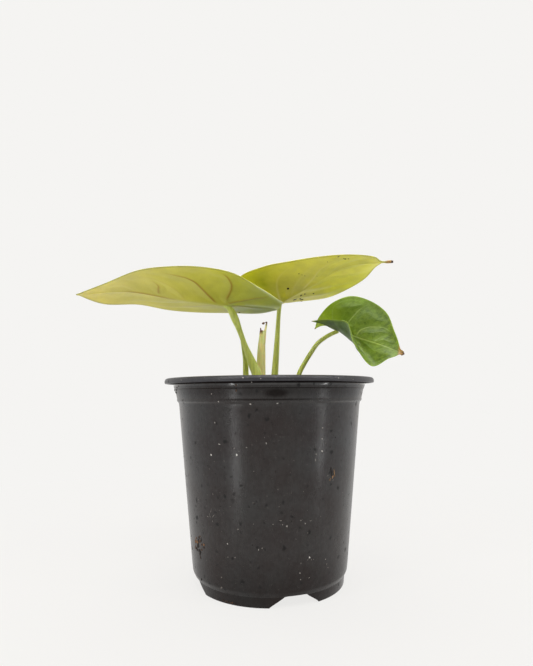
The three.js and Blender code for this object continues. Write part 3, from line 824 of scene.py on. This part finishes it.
def leafTissue(look):
    # Living waxy leaf, a soft sheen over flesh that lets light through, with paler veins and a fine net
    # between them
    material, add = newMaterial(look["name"])
    place = add("TexCoord").outputs["Object"]
    read = {key: add("Attribute", attribute_name=key).outputs["Fac"] for key in leafMarks}
    cloud = add("TexNoise", {"Vector": place, "Scale": look["mottleScale"], "Detail": 4.0,
                             "Roughness": 0.55})
    wander = add("TexNoise", {"Vector": place, "Scale": 420.0, "Detail": 2.0})
    shifted = add("Mix", {0: 0.0012, 4: place, 5: wander.outputs["Color"]}, data_type="VECTOR")
    # A net of fine veins with meshes of 2.4 mm
    net = add("TexVoronoi", {"Vector": shifted, "Scale": 420.0}, feature="DISTANCE_TO_EDGE")
    netLine = add("MapRange", {0: net, 1: 0.0, 2: 0.14, 3: 1.0, 4: 0.0})
    share = add("MapRange", {0: read["alongBlade"], 1: -lobeReach, 2: 1.0})
    least, most = 0.5 - look["mottle"], 0.5 + look["mottle"]
    uneven = add("MapRange", {0: cloud, 1: 0.35, 2: 0.65, 3: least, 4: most})

    topPale = add("Math", {0: read["halo"], 1: look["haloShare"]}, operation="MULTIPLY")
    topCloud = add("Math", {0: uneven, 1: 0.5, 2: topPale}, operation="MULTIPLY_ADD")
    topNet = add("Math", {0: netLine, 1: 0.12, 2: topCloud}, operation="MULTIPLY_ADD", use_clamp=True)
    # Painted light and shade, on top only where the look asks for it
    paintedShadingOnTop = add("Math", {0: read["patch"], 1: look["paintedShadingTop"]}, operation="MULTIPLY")
    top = add("ValToRGB", {0: share}, stops=look["top"])
    for part, tone in ((topNet, "topPale"), (paintedShadingOnTop, "patch"), (read["rib"], "topVein")):
        top = add("Mix", {0: part, 6: top, 7: look[tone]}, data_type="RGBA")

    underTone = add("ValToRGB", {0: share}, stops=look["under"])
    mottle = add("MapRange", {0: uneven, 3: 0.84, 4: 1.16})
    # The tone mark makes each half's underside lighter or darker: painted light and shade
    underValue = add("Math", {0: mottle, 1: read["tone"]}, operation="MULTIPLY")
    paleShare = add("Math", {0: read["pale"], 1: 0.6}, operation="MULTIPLY")
    under = add("HueSaturation", {"Color": underTone, "Value": underValue})
    for part, tone in ((read["patch"], "patch"), (paleShare, "pale"), (read["vein"], "vein")):
        under = add("Mix", {0: part, 6: under, 7: look[tone]}, data_type="RGBA")

    # On the back lobes the rim takes the lobe edge colour, for the gold leaf partly a painted highlight
    onLobe = add("MapRange", {0: read["alongBlade"], 1: -0.16, 2: -0.02, 3: 1.0, 4: 0.0})
    rimTone = add("Mix", {0: onLobe, 6: look["margin"], 7: look["lobeEdge"]}, data_type="RGBA")
    rim = add("Math", {0: read["margin"], 1: look["marginShare"]}, operation="MULTIPLY")
    withered = add("ValToRGB", {0: read["dry"]}, stops=[(0.5, "#a8854a"), (0.9, "#3a1f16")])
    drying = add("MapRange", {0: read["dry"], 1: 0.0, 2: 0.4})
    colour = top
    for part, tone in ((read["under"], under), (rim, rimTone), (drying, withered)):
        colour = add("Mix", {0: part, 6: colour, 7: tone}, data_type="RGBA")

    relief = add("Math", {0: netLine, 1: 0.5, 2: cloud}, operation="MULTIPLY_ADD")
    bump = add("Bump", {"Height": relief, "Strength": 0.25, "Distance": 0.0002})
    shader = add("BsdfPrincipled", {
        "Base Color": colour, "Roughness": 0.45, "IOR": 1.42, "Normal": bump,
        "Subsurface Weight": 0.8, "Subsurface Scale": 0.001, "Subsurface Radius": (1.0, 1.0, 0.25)})
    add("OutputMaterial", {"Surface": shader})
    return material


makeBlade("blade_left_leaf", "blade_left", leftBlade, leafTissue(leafLook["gold"]))
makeBlade("blade_right_leaf", "blade_right", rightBlade, leafTissue(leafLook["goldRight"]))
makeBlade("blade_small_leaf", "blade_small", smallBlade, leafTissue(leafLook["green"]))
print("blades made")


# Petioles and sheath

petioles = {
    # Tone: each stalk's lightness, raised or lowered for how much light reaches it: painted light and shade
    "petiole_left": {
        "tone": 1.05,
        "strands": [
            {"path": [(-4.6, -5, 92), (-5.8, -6, 106), (-7.6, -7, 121.6), (-10, -7.5, 128.3),
                      (-14.7, -9.5, 140), (-18.2, -12, 149.8), (-21.2, -13.9, 157.4), (-24, -14.8, 162.4),
                      (-28, -15.3, 164.8)],
             "radii": [3.6, 3.5, 3.2, 3.1, 2.6, 1.7, 1.7, 2.35, 0.9]},
            {"path": [(-9.7, -1, 93), (-13.7, 0, 108), (-14.7, 0, 122), (-15, -2.4, 133),
                      (-17, -10.4, 145.5)],
             "radii": [2.0, 2.0, 1.9, 1.6, 0.9]},
        ],
    },
    "petiole_right": {
        "tone": 0.95,
        "strands": [
            {"path": [(2.1, 5.4, 92), (2.9, 5.7, 107), (3.7, 6, 122.5), (5.2, 6.5, 141.8),
                      (6.6, 7.5, 161.8), (7.5, 8, 169.6)],
             "radii": [2.8, 2.6, 2.4, 2.05, 1.75, 1.4, 1.4]},
        ],
    },
    "petiole_small": {
        "tone": 1.02,
        "strands": [
            {"path": [(12.8, 3, 92), (15.2, 2.5, 107), (18.9, 2, 122), (22.2, 2, 128.8), (27.1, 2, 136.6),
                      (31.4, 2, 142.4), (36, 2.2, 146), (40.4, 2.5, 148.5), (44.8, 1.6, 150.3)],
             "radii": [2.2, 2.0, 1.7, 1.5, 1.45, 1.35, 1.3]},
        ],
    },
}
sheathParts = [  # the sheath, its two split ends, and the brown crumbs of its tip
    {"path": [(-3.8, 0.6, 94), (-4.6, 0.3, 108), (-5.1, 0, 122), (-4.9, 0, 134), (-4.5, 0, 144),
              (-4.2, 0, 150.8)],
     "radii": [2.5, 3.05, 3, 2.8, 2.45, 1.35], "flat": 0.5},
    {"path": [(-5, 0, 143), (-5.2, 0, 148.6), (-5.1, 0, 151), (-5.3, 0, 152.5)],
     "radii": [1.0, 1.0, 0.7, 0.25]},
    {"path": [(-3.2, 0, 142), (-2.6, 0, 148.4), (-1.8, 0, 152.8), (-1.25, 0, 156.2)],
     "radii": [1.0, 0.95, 0.65, 0.45]},
    {"path": [(-1.1, 0, 156.1), (-1.9, 0, 156.1), (-3, 0, 155.6)], "radii": [0.5, 0.2, 0.25]},
    {"path": [(-2.6, 0, 155.7), (-3.4, 0, 155.4), (-4.3, 0, 155.2)], "radii": [0.3, 0.8, 0.3]},
]


def tube(path, radii, flat=1.0, sides=28, step=0.8):
    # A round or flattened stalk along a path, its radii spread evenly over the length
    knots = np.asarray(path, float)
    lengths = np.concatenate([[0], np.cumsum(np.linalg.norm(np.diff(knots, axis=0), axis=1))])
    rings = max(8, int(lengths[-1] / step))
    even = np.interp(np.linspace(0, lengths[-1], rings + 1), lengths, np.linspace(0, 1, len(knots)))
    centre = along(knots, even)
    tangent = np.gradient(centre, axis=0)
    tangent /= np.linalg.norm(tangent, axis=1, keepdims=True)
    across = np.cross((0, 1, 0), tangent)
    across /= np.linalg.norm(across, axis=1, keepdims=True)
    back = np.cross(tangent, across)
    radius = along(np.asarray(radii, float)[:, None], np.linspace(0, 1, rings + 1))
    turns = np.linspace(0, 2 * pi, sides, endpoint=False)
    points = (centre[:, None] + across[:, None] * (radius * np.cos(turns))[..., None]
              + back[:, None] * (radius * flat * np.sin(turns))[..., None])
    faces = ringFaces(rings + 1, sides)
    faces += [tuple(range(sides - 1, -1, -1)), tuple(rings * sides + k for k in range(sides))]
    return points.reshape(-1, 3), faces


def joinParts(parts):
    points, faces = [], []
    for part in parts:
        partPoints, partFaces = tube(**part)
        faces += [tuple(len(points) + k for k in face) for face in partFaces]
        points.extend(partPoints)
    return np.array(points), faces


def freshPetiole(node, paintedLightLevel):
    # Living leaf stalk, smooth and juicy, with faint lengthwise ribs and pale flecks, each stalk lighter or
    # darker as painted light and shade
    material, add = newMaterial("fresh_" + node)
    place = add("TexCoord").outputs["Object"]
    fibre = add("Mapping", {"Vector": place, "Scale": (1, 1, 0.06)})
    rib = add("TexNoise", {"Vector": fibre, "Scale": 900.0, "Detail": 3.0})
    fleck = add("TexNoise", {"Vector": place, "Scale": 1500.0, "Detail": 2.0})
    tone = add("ValToRGB", {0: rib}, stops=[(0.3, "#b9c45c"), (0.7, "#d5dd79")])
    lit = add("HueSaturation", {"Color": tone, "Value": paintedLightLevel})
    pale = add("MapRange", {0: fleck, 1: 0.68, 2: 0.74, 3: 0.0, 4: 0.6})
    colour = add("Mix", {0: pale, 6: lit, 7: "#cfcf9c"}, data_type="RGBA")
    bump = add("Bump", {"Height": rib, "Strength": 0.3, "Distance": 0.0002})
    shader = add("BsdfPrincipled", {
        "Base Color": colour, "Roughness": 0.4, "IOR": 1.42, "Normal": bump,
        "Subsurface Weight": 0.6, "Subsurface Scale": 0.0015, "Subsurface Radius": (1.0, 1.0, 0.3)})
    add("OutputMaterial", {"Surface": shader})
    return material


def drySheath():
    # Withered papery sheath, straw coloured and ribbed, brown where it has dried at its ends
    material, add = newMaterial("dried_leaf_sheath")
    place = add("TexCoord").outputs["Object"]
    fibre = add("Mapping", {"Vector": place, "Scale": (1, 1, 0.05)})
    rib = add("TexNoise", {"Vector": fibre, "Scale": 1400.0, "Detail": 3.0})
    spot = add("SeparateXYZ", {0: place})
    tone = add("ValToRGB", {0: rib}, stops=[(0.3, "#ebe48e"), (0.7, "#f6f0ac")])
    dryFrom = add("MapRange", {0: spot.outputs["X"], 1: -0.0039, 2: -0.0035, 3: 0.1487, 4: 0.154})
    over = add("Math", {0: spot.outputs["Z"], 1: dryFrom}, operation="SUBTRACT")
    dried = add("MapRange", {0: over, 1: -0.001, 2: 0.0015})
    colour = add("Mix", {0: dried, 6: tone, 7: "#6a3a28"}, data_type="RGBA")
    bump = add("Bump", {"Height": rib, "Strength": 0.5, "Distance": 0.0003})
    shader = add("BsdfPrincipled", {
        "Base Color": colour, "Roughness": 0.65, "Normal": bump,
        "Subsurface Weight": 0.3, "Subsurface Scale": 0.0008})
    add("OutputMaterial", {"Surface": shader})
    return material


def makeStalk(name, strands, material, node):
    points, faces = joinParts(strands)
    stalk = meshPiece(name, points * mm, faces, material)
    replaceNode(stalk, node)


def makePetioles():
    for node, petiole in petioles.items():
        material = freshPetiole(node, petiole["tone"])
        makeStalk(node + "_stalk", petiole["strands"], material, node)
    makeStalk("sheath_leaf", sheathParts, drySheath(), "sheath")


makePetioles()
print("petioles made")


# Potting mix

soilLook = {
    "top": 106.0,
    "relief": 1.4,
    "grit": 0.9,
    "gritScale": 0.35,  # lumps to a millimetre
    "radius": 54.3,
    "rings": 70,
    "sides": 220,
    "underside": [(45.0, 12.2), (42.4, 8.1)],  # radius and height inside the pot's foot
}


def groundHeight(x, y):
    wave = np.sin(0.21 * x + 1) * np.cos(0.17 * y) + 0.6 * np.sin(0.43 * y - 0.31 * x)
    return soilLook["top"] + soilLook["relief"] * wave


def pottingMix():
    # Moist peat and bark, almost black where wet, with brown fibre showing
    material, add = newMaterial("moist_peat_and_bark")
    place = add("TexCoord").outputs["Object"]
    # Lumps of about 3 mm
    coarse = add("TexNoise", {"Vector": place, "Scale": 320.0, "Detail": 6.0, "Roughness": 0.65})
    tone = add("ValToRGB", {0: coarse}, stops=[(0.32, "#1c130d"), (0.52, "#3a281b"), (0.72, "#5d432d")])
    bump = add("Bump", {"Height": coarse, "Strength": 0.8, "Distance": 0.0006})
    shader = add("BsdfPrincipled", {"Base Color": tone, "Roughness": 0.85, "Normal": bump})
    add("OutputMaterial", {"Surface": shader})
    return material


def makeSoil():
    look = soilLook
    sides, scale = look["sides"], look["gritScale"]
    turns = np.linspace(0, 2 * pi, sides, endpoint=False)
    points = []
    for r in look["radius"] * np.linspace(0.004, 1, look["rings"]):
        for a in turns:
            x, y = r * cos(a), r * sin(a)
            rough = noise.fractal((x * scale, y * scale, 2.0), 0.7, 2.2, 4)
            points.append((x, y, float(groundHeight(x, y)) + look["grit"] * rough))
    points += [(r * cos(a), r * sin(a), z) for r, z in look["underside"] for a in turns]
    faces = ringFaces(look["rings"] + len(look["underside"]), sides)
    faces += [tuple(range(sides - 1, -1, -1)), tuple(range(len(points) - sides, len(points)))]
    bed = meshPiece("soil_bed", np.array(points) * mm, faces, pottingMix())
    mendMesh(bed)
    replaceNode(bed, "soil")


makeSoil()
print("soil made")


# Grains: crumbs, chips, dust and splinters

def baseBlob():
    shape = bmesh.new()
    bmesh.ops.create_icosphere(shape, subdivisions=1, radius=1.0)
    points = np.array([v.co[:] for v in shape.verts])
    faces = [[v.index for v in f.verts] for f in shape.faces]
    shape.free()
    return points, faces


blob = baseBlob()


def turned(yaw, pitch, roll):
    z, y, x = (Matrix.Rotation(angle, 3, axis) for angle, axis in ((yaw, "Z"), (pitch, "Y"), (roll, "X")))
    return np.array(z @ y @ x)


def grainPiece(name, grains, material, node):
    # Each grain has a centre, half lengths, a 3 x 3 frame, a tone from 0 to 1 and a share of unevenness
    points, faces, tones = [], [], []
    base, triangles = blob
    for centre, lengths, turn, tone, uneven in grains:
        bumpy = base * (1 + uneven * rng.uniform(-1, 1, (len(base), 1)))
        start = len(points)
        points.extend(centre + (bumpy * lengths) @ np.asarray(turn).T)
        faces += [[start + k for k in triangle] for triangle in triangles]
        tones += [tone] * len(base)
    piece = meshPiece(name, np.array(points) * mm, faces, material, False, {"tone": tones})
    replaceNode(piece, node)


def grainMaterial(name, stops, roughness, scale):
    material, add = newMaterial(name)
    place = add("TexCoord").outputs["Object"]
    tone = add("Attribute", attribute_name="tone").outputs["Fac"]
    speckle = add("TexNoise", {"Vector": place, "Scale": scale, "Detail": 3.0})
    mixed = add("Math", {0: speckle, 1: 0.3, 2: tone}, operation="MULTIPLY_ADD")
    shifted = add("Math", {0: mixed, 1: 0.15}, operation="SUBTRACT")
    colour = add("ValToRGB", {0: shifted}, stops=stops)
    bump = add("Bump", {"Height": speckle, "Strength": 0.4, "Distance": 0.0002})
    shader = add("BsdfPrincipled", {"Base Color": colour, "Roughness": roughness, "Normal": bump})
    add("OutputMaterial", {"Surface": shader})
    return material


# Broken peat, bark and coir, dark when moist with paler torn edges
litterTones = [(0.0, "#150e0a"), (0.4, "#35241a"), (0.75, "#6a4a30"), (1.0, "#a5825a")]
litterMatter = grainMaterial("peat_bark_and_coir", litterTones, 0.85, 1200.0)
# Expanded volcanic glass, chalky white and full of pores
perliteMatter = grainMaterial("expanded_perlite", [(0.0, "#a5a098"), (1.0, "#e6e2da")], 0.7, 1800.0)
# Dried specks of dust and lime, grey to tan
dustTones = [(0.0, "#3a3632"), (0.3, "#77706a"), (0.6, "#a8a39c"), (1.0, "#d6d2cb")]
dustMatter = grainMaterial("dried_dust", dustTones, 0.75, 3000.0)

litter = {  # counts, and sizes in mm
    "crumbs": 1300,
    "crumbSizes": (0.25, 1.5),
    "chips": 130,
    "chipLengths": (1.6, 4.6),
    "perlite": 48,
    "perliteSizes": (0.6, 1.5),
    "fibres": 46,
    "fibreLengths": (6, 15),
    "fibreRadii": [0.12, 0.2, 0.14],
    "reach": 52.0,  # from the pot's axis
}


def soilSpot():
    radius, angle = litter["reach"] * sqrt(rng.uniform(0, 1)), rng.uniform(0, 2 * pi)
    x, y = radius * cos(angle), radius * sin(angle)
    return np.array([x, y, float(groundHeight(x, y))])


def anyTurn():
    return turned(*rng.uniform(0, 6.28, 3))


def makeLitter():
    grains = []
    least, most = litter["crumbSizes"]
    for _ in range(litter["crumbs"]):
        size = rng.uniform(0.4, 1.0) ** 2 * most + least
        lengths = size * rng.uniform(0.6, 1.0, 3)
        spot = soilSpot() + (0, 0, rng.uniform(0.1, 0.7) * size)
        grains.append((spot, lengths, anyTurn(), rng.uniform(0.05, 0.6), 0.25))
    for _ in range(litter["chips"]):
        long = rng.uniform(*litter["chipLengths"])
        lengths = (long, long * rng.uniform(0.3, 0.55), rng.uniform(0.3, 0.7))
        spot = soilSpot() + (0, 0, rng.uniform(0.5, 1.2))
        turn = turned(rng.uniform(0, 6.28), rng.normal(0, 0.25), rng.normal(0, 0.3))
        grains.append((spot, lengths, turn, rng.uniform(0.2, 0.85), 0.18))
    grainPiece("soil_litter", grains, litterMatter, "soil")
    white = []
    for _ in range(litter["perlite"]):
        size = rng.uniform(*litter["perliteSizes"])
        spot = soilSpot() + (0, 0, rng.uniform(0.5, 0.9) * size)
        white.append((spot, size * rng.uniform(0.7, 1.0, 3), anyTurn(), rng.uniform(0.2, 1), 0.2))
    grainPiece("soil_perlite", white, perliteMatter, "soil")


def makeFibres():
    parts = []
    for _ in range(litter["fibres"]):
        start, heading, curl = soilSpot() * 0.93, rng.uniform(0, 6.28), rng.normal(0, 0.5)
        length, path = rng.uniform(*litter["fibreLengths"]), []
        for t in np.linspace(0, 1, 6):
            x = start[0] + length * t * cos(heading + curl * t)
            y = start[1] + length * t * sin(heading + curl * t)
            if x * x + y * y > litter["reach"] ** 2:
                break
            path.append((x, y, float(groundHeight(x, y)) + 1.3 + rng.uniform(-0.3, 0.7)))
        if len(path) > 3:
            parts.append({"path": path, "radii": litter["fibreRadii"], "sides": 6})
    points, faces = joinParts(parts)
    fibres = meshPiece("soil_fibres", points * mm, faces, litterMatter,
                       attributes={"tone": rng.uniform(0.6, 0.95, len(points))})
    replaceNode(fibres, "soil")


def wallFrame(angle, height):
    # Place and frame on the pot's outer wall, from degrees to the right of the front and height in mm
    start, past = potShape["wall"]
    radii, heights = zip(*potShape["outline"][start:past])
    radius = potShape["lipRadius"]
    if height < potShape["lipFrom"]:
        radius = float(np.interp(height, heights, radii))
    a = radians(angle)
    out = np.array([sin(a), -cos(a), 0.0])
    side = np.array([cos(a), sin(a), 0.0])
    sag = potShape["lean"] * (1 - height / potShape["height"])
    return out * radius + (-sag, 0, height), np.stack([side, (0.0, 0.0, 1.0), out], 1)


wallDirt = {
    "heights": (14, 70, 106),  # mm, where scattered dirt begins, is densest and ends
    "filmDepth": 0.1,
    # Each spot: angle, height, half width, half height, tone, and for some the degrees that it leans
    "dust": {
        "depth": 0.18,
        "scattered": 150,  # fine pale specks
        "sizes": (0.14, 0.28),
        "tone": 0.3,
        "spots": [
            (-36.3, 78, 0.6, 0.6, 0.9), (-32.3, 95.3, 0.45, 0.5, 0.45), (-10.3, 105.2, 0.55, 0.6, 0.6),
            (4.1, 105.6, 0.6, 0.5, 0.7), (-28.4, 106.5, 0.6, 0.35, 0.5), (-32.5, 110.5, 0.5, 0.4, 0.4),
            (31.1, 92.2, 0.5, 0.45, 0.35), (31.1, 86.4, 0.5, 0.45, 0.45),
            (31.5, 79.8, 0.55, 0.6, 0.7, -20), (27.4, 78.5, 0.5, 0.4, 0.45, 30),
            (27.1, 75.5, 0.35, 0.8, 0.35), (-30, 84, 0.9, 0.3, 0.6, 8), (-2, 85, 0.3, 0.7, 0.55),
            (-13.1, 82.7, 0.45, 0.3, 0.4, 20), (-20.4, 82.1, 0.4, 0.3, 0.4, -30),
            (-19, 78.8, 0.5, 0.8, 0.95), (-27.5, 32.2, 0.5, 0.5, 0.6), (1.7, 43.5, 0.35, 0.35, 0.4),
            (10, 42.3, 0.5, 0.5, 0.5), (6.2, 45.3, 0.7, 0.25, 0.35, 15), (7.4, 43.2, 0.3, 0.3, 0.4),
            (21.7, 42.9, 0.45, 0.4, 0.45), (18.6, 44.8, 0.7, 0.22, 0.35, 5), (25.2, 44, 0.6, 0.2, 0.3, -5),
            (23.5, 37.9, 0.3, 0.3, 0.3), (-7.2, 30.4, 0.4, 0.4, 0.4), (-5, 31.3, 0.4, 0.35, 0.35),
            (25.4, 25.1, 0.6, 0.6, 0.85), (38.5, 22.2, 0.35, 0.35, 0.35), (39.7, 19.5, 0.25, 0.6, 0.35),
            (41.1, 17.4, 0.35, 0.35, 0.35), (19.4, 22.8, 0.3, 0.3, 0.35), (19, 17.7, 0.45, 0.4, 0.4),
            (19.6, 14.4, 0.3, 0.4, 0.35), (25.7, 14.6, 0.4, 0.3, 0.35), (-19.9, 40.3, 0.4, 0.45, 0.35),
            (-33.5, 14, 0.5, 0.35, 0.3), (-27.7, 25.3, 0.3, 0.3, 0.35), (-34.3, 8.4, 0.9, 0.35, 0.3, -25),
            (-22.5, 25.6, 0.35, 0.35, 0.35), (-12, 118.6, 0.5, 0.4, 0.6), (-4, 118, 0.4, 0.3, 0.5),
            (-9, 116.4, 0.4, 0.4, 0.45), (34, 118.4, 0.5, 0.3, 0.5), (44, 117.8, 0.35, 0.3, 0.5),
            (-48, 118.2, 0.4, 0.3, 0.45), (-39.3, 48.2, 0.14, 1.5, 0.42, 8),
            (-40.5, 45.4, 0.14, 1.5, 0.42, -30), (-37.4, 45.6, 0.14, 1.6, 0.42, 40),
            (-42.6, 44.6, 0.12, 1.1, 0.36, -70), (60, 115.4, 1.4, 0.4, 0.3, 8),
            (64.5, 114.6, 1.1, 0.35, 0.4, 15), (55.5, 115.8, 0.9, 0.3, 0.3),
        ],
    },
    "soil": {
        "depth": 0.3,
        "scattered": 110,  # dark crumbs dried on, seen mostly where the wall shines
        "sizes": (0.22, 0.5),
        "tone": 0.0,
        "spots": [
            (-55, 29.5, 1.7, 1.3, 0.06, 10), (-57, 26.6, 1.6, 1.6, 0.1), (-54.4, 23.8, 1.2, 1.5, 0.05),
            (-56, 8.4, 0.8, 0.9, 0.1), (-32, 1.2, 1.3, 0.7, 0.3), (-27.6, 1.1, 1.2, 0.6, 0.35),
            (-54.6, 31.4, 1.05, 0.75, 0.12, 20), (-51.9, 30.7, 0.6, 1.5, 0.08, 10),
            (-56.4, 27.5, 1.05, 0.9, 0), (-59, 24.2, 1.05, 1.2, 0.12, -30),
            (-55.7, 24.1, 1.05, 1.05, 0.05), (-55, 22.3, 0.75, 1.35, 0.15), (-54.2, 20.6, 0.6, 1.05, 0.3),
            (-49, 27, 1.05, 0.9, 0.2), (-60.4, 28.3, 1.2, 1.65, 0.72), (-57.5, 28.4, 1.2, 1.2, 0.8, 20),
            (-48.8, 28.5, 1.2, 0.9, 0.7), (-51.4, 28.2, 0.9, 0.9, 0.45), (-53.1, 32.2, 0.75, 0.6, 0.6),
            (-61.3, 24.9, 0.9, 1.35, 0.5, -20), (-52, 25.3, 0.9, 0.75, 0.5), (-53.5, 29.6, 0.9, 0.9, 0.55),
            (-58.7, 30.3, 1.05, 0.75, 0.6), (-57.8, 26, 0.9, 1.05, 0.4, 30), (39.2, 70, 0.84, 1.54, 0.05),
            (40.1, 67.6, 0.77, 2.1, 0.02, 8), (42, 68, 0.28, 3.22, 0.9, -8),
            (40.8, 65.5, 0.56, 1.26, 0.85, 20), (38.6, 64.4, 0.31, 0.98, 0.85, 25),
            (-17.1, 115, 0.41, 0.94, 0.55), (-17.4, 112.6, 0.54, 1.62, 0.5),
            (-34.8, 1.4, 0.8, 0.5, 0.35, 20), (-29.6, 1, 1.1, 0.5, 0.25, 10), (-26.8, 1.3, 0.5, 0.6, 0.5),
            (-24.8, 0.9, 0.8, 0.4, 0.2), (-70, 113.2, 1.2, 0.8, 0.1, 30), (-79, 113.4, 1.4, 1.3, 0.05, 20),
            (-76, 112, 1.0, 1.1, 0.12), (-66, 114.4, 1.1, 0.5, 0.3, 10), (-62, 115.2, 0.9, 0.4, 0.45),
            (-73, 111.6, 1.0, 0.9, 0.05),
        ],
    },
}


def makeWallDirt():
    for name, material in (("dust", dustMatter), ("soil", litterMatter)):
        kind, grains = wallDirt[name], []
        for angle, height, wide, tall, tone, *lean in kind["spots"]:
            place, turn = wallFrame(angle, height)
            turn = turn @ turned(radians(-sum(lean)), 0, 0)
            grains.append((place, (wide * 0.9, tall * 0.9, kind["depth"]), turn, tone, 0.15))
        for _ in range(kind["scattered"]):
            place, turn = wallFrame(rng.uniform(0, 360), rng.triangular(*wallDirt["heights"]))
            size = rng.uniform(*kind["sizes"])
            lengths = (size, size * rng.uniform(0.6, 1.2), wallDirt["filmDepth"])
            grains.append((place, lengths, turn, kind["tone"], 0.2))
        grainPiece("wall_" + name, grains, material, "pot")


leafDirt = {
    "scale": 1.25,
    "height": 0.35,  # mm, half a crumb's
    "sink": 0.45,  # mm below the swell of the skin
}
leafCrumbs = [  # leaf, side, and each crumb's x, v, half length, half width and tone
    ("blade_left", "right", [
        (-0.023, 0.912, 0.65, 0.6, 0.02),
    ]),
    ("blade_right", "right", [
        (0.141, 0.289, 0.94, 0.62, 0.1), (0.292, 0.566, 0.75, 0.5, 0.15), (0.559, 0.93, 0.88, 0.31, 0.2),
        (0.612, 0.73, 0.62, 0.44, 0.2), (0.636, 0.711, 0.44, 0.38, 0.2), (0.6, 0.78, 0.38, 0.31, 0.3),
        (0.405, 0.302, 0.31, 0.25, 0.3), (0.485, 0.767, 0.31, 0.31, 0.3), (0.27, 0.62, 0.31, 0.25, 0.3),
        (0.31, 0.5, 0.28, 0.28, 0.3),
    ]),
    ("blade_right", "left", [
        (0.248, 0.415, 0.62, 0.44, 0.15), (0.088, 0.308, 2, 0.35, 0.12), (0.12, 0.4, 1.12, 0.44, 0.1),
        (0.054, 0.811, 0.88, 0.5, 0.1), (0.175, 0.214, 1.12, 0.38, 0.15), (0.128, 0.27, 0.62, 0.62, 0.3),
        (0.211, 0.233, 0.44, 0.38, 0.25), (0.1, 0.55, 1, 0.31, 0.2),
    ]),
]
leaves = {"blade_left": leftBlade, "blade_right": rightBlade}


def makeLeafDirt():
    grains = {node: [] for node in leaves}
    scale = leafDirt["scale"]
    for node, side, crumbs in leafCrumbs:
        leaf = leaves[node]
        for x, v, long, wide, tone in crumbs:
            x, v = np.array([x]), np.array([v])
            place = bladePoint(leaf, side, x, v)[0]
            up = bladeNormal(leaf, side, x, v)[0]
            lengthwise = bladePoint(leaf, side, x + 0.01, v)[0] - place
            lengthwise /= np.linalg.norm(lengthwise)
            turn = np.stack([lengthwise, np.cross(up, lengthwise), up], 1)
            lift = leaf["quilt"] * 0.5 - leafDirt["sink"]
            lengths = (scale * long, scale * wide, leafDirt["height"])
            grains[node].append((place + up * lift, lengths, turn, tone, 0.25))
    for node, crumbs in grains.items():
        twisted = [(place, lengths, turn @ turned(rng.uniform(-0.6, 0.6), 0, 0), tone, uneven)
                   for place, lengths, turn, tone, uneven in crumbs]
        grainPiece(node + "_dirt", twisted, litterMatter, node)


makeLitter()
makeFibres()
makeWallDirt()
makeLeafDirt()
print("grains made")
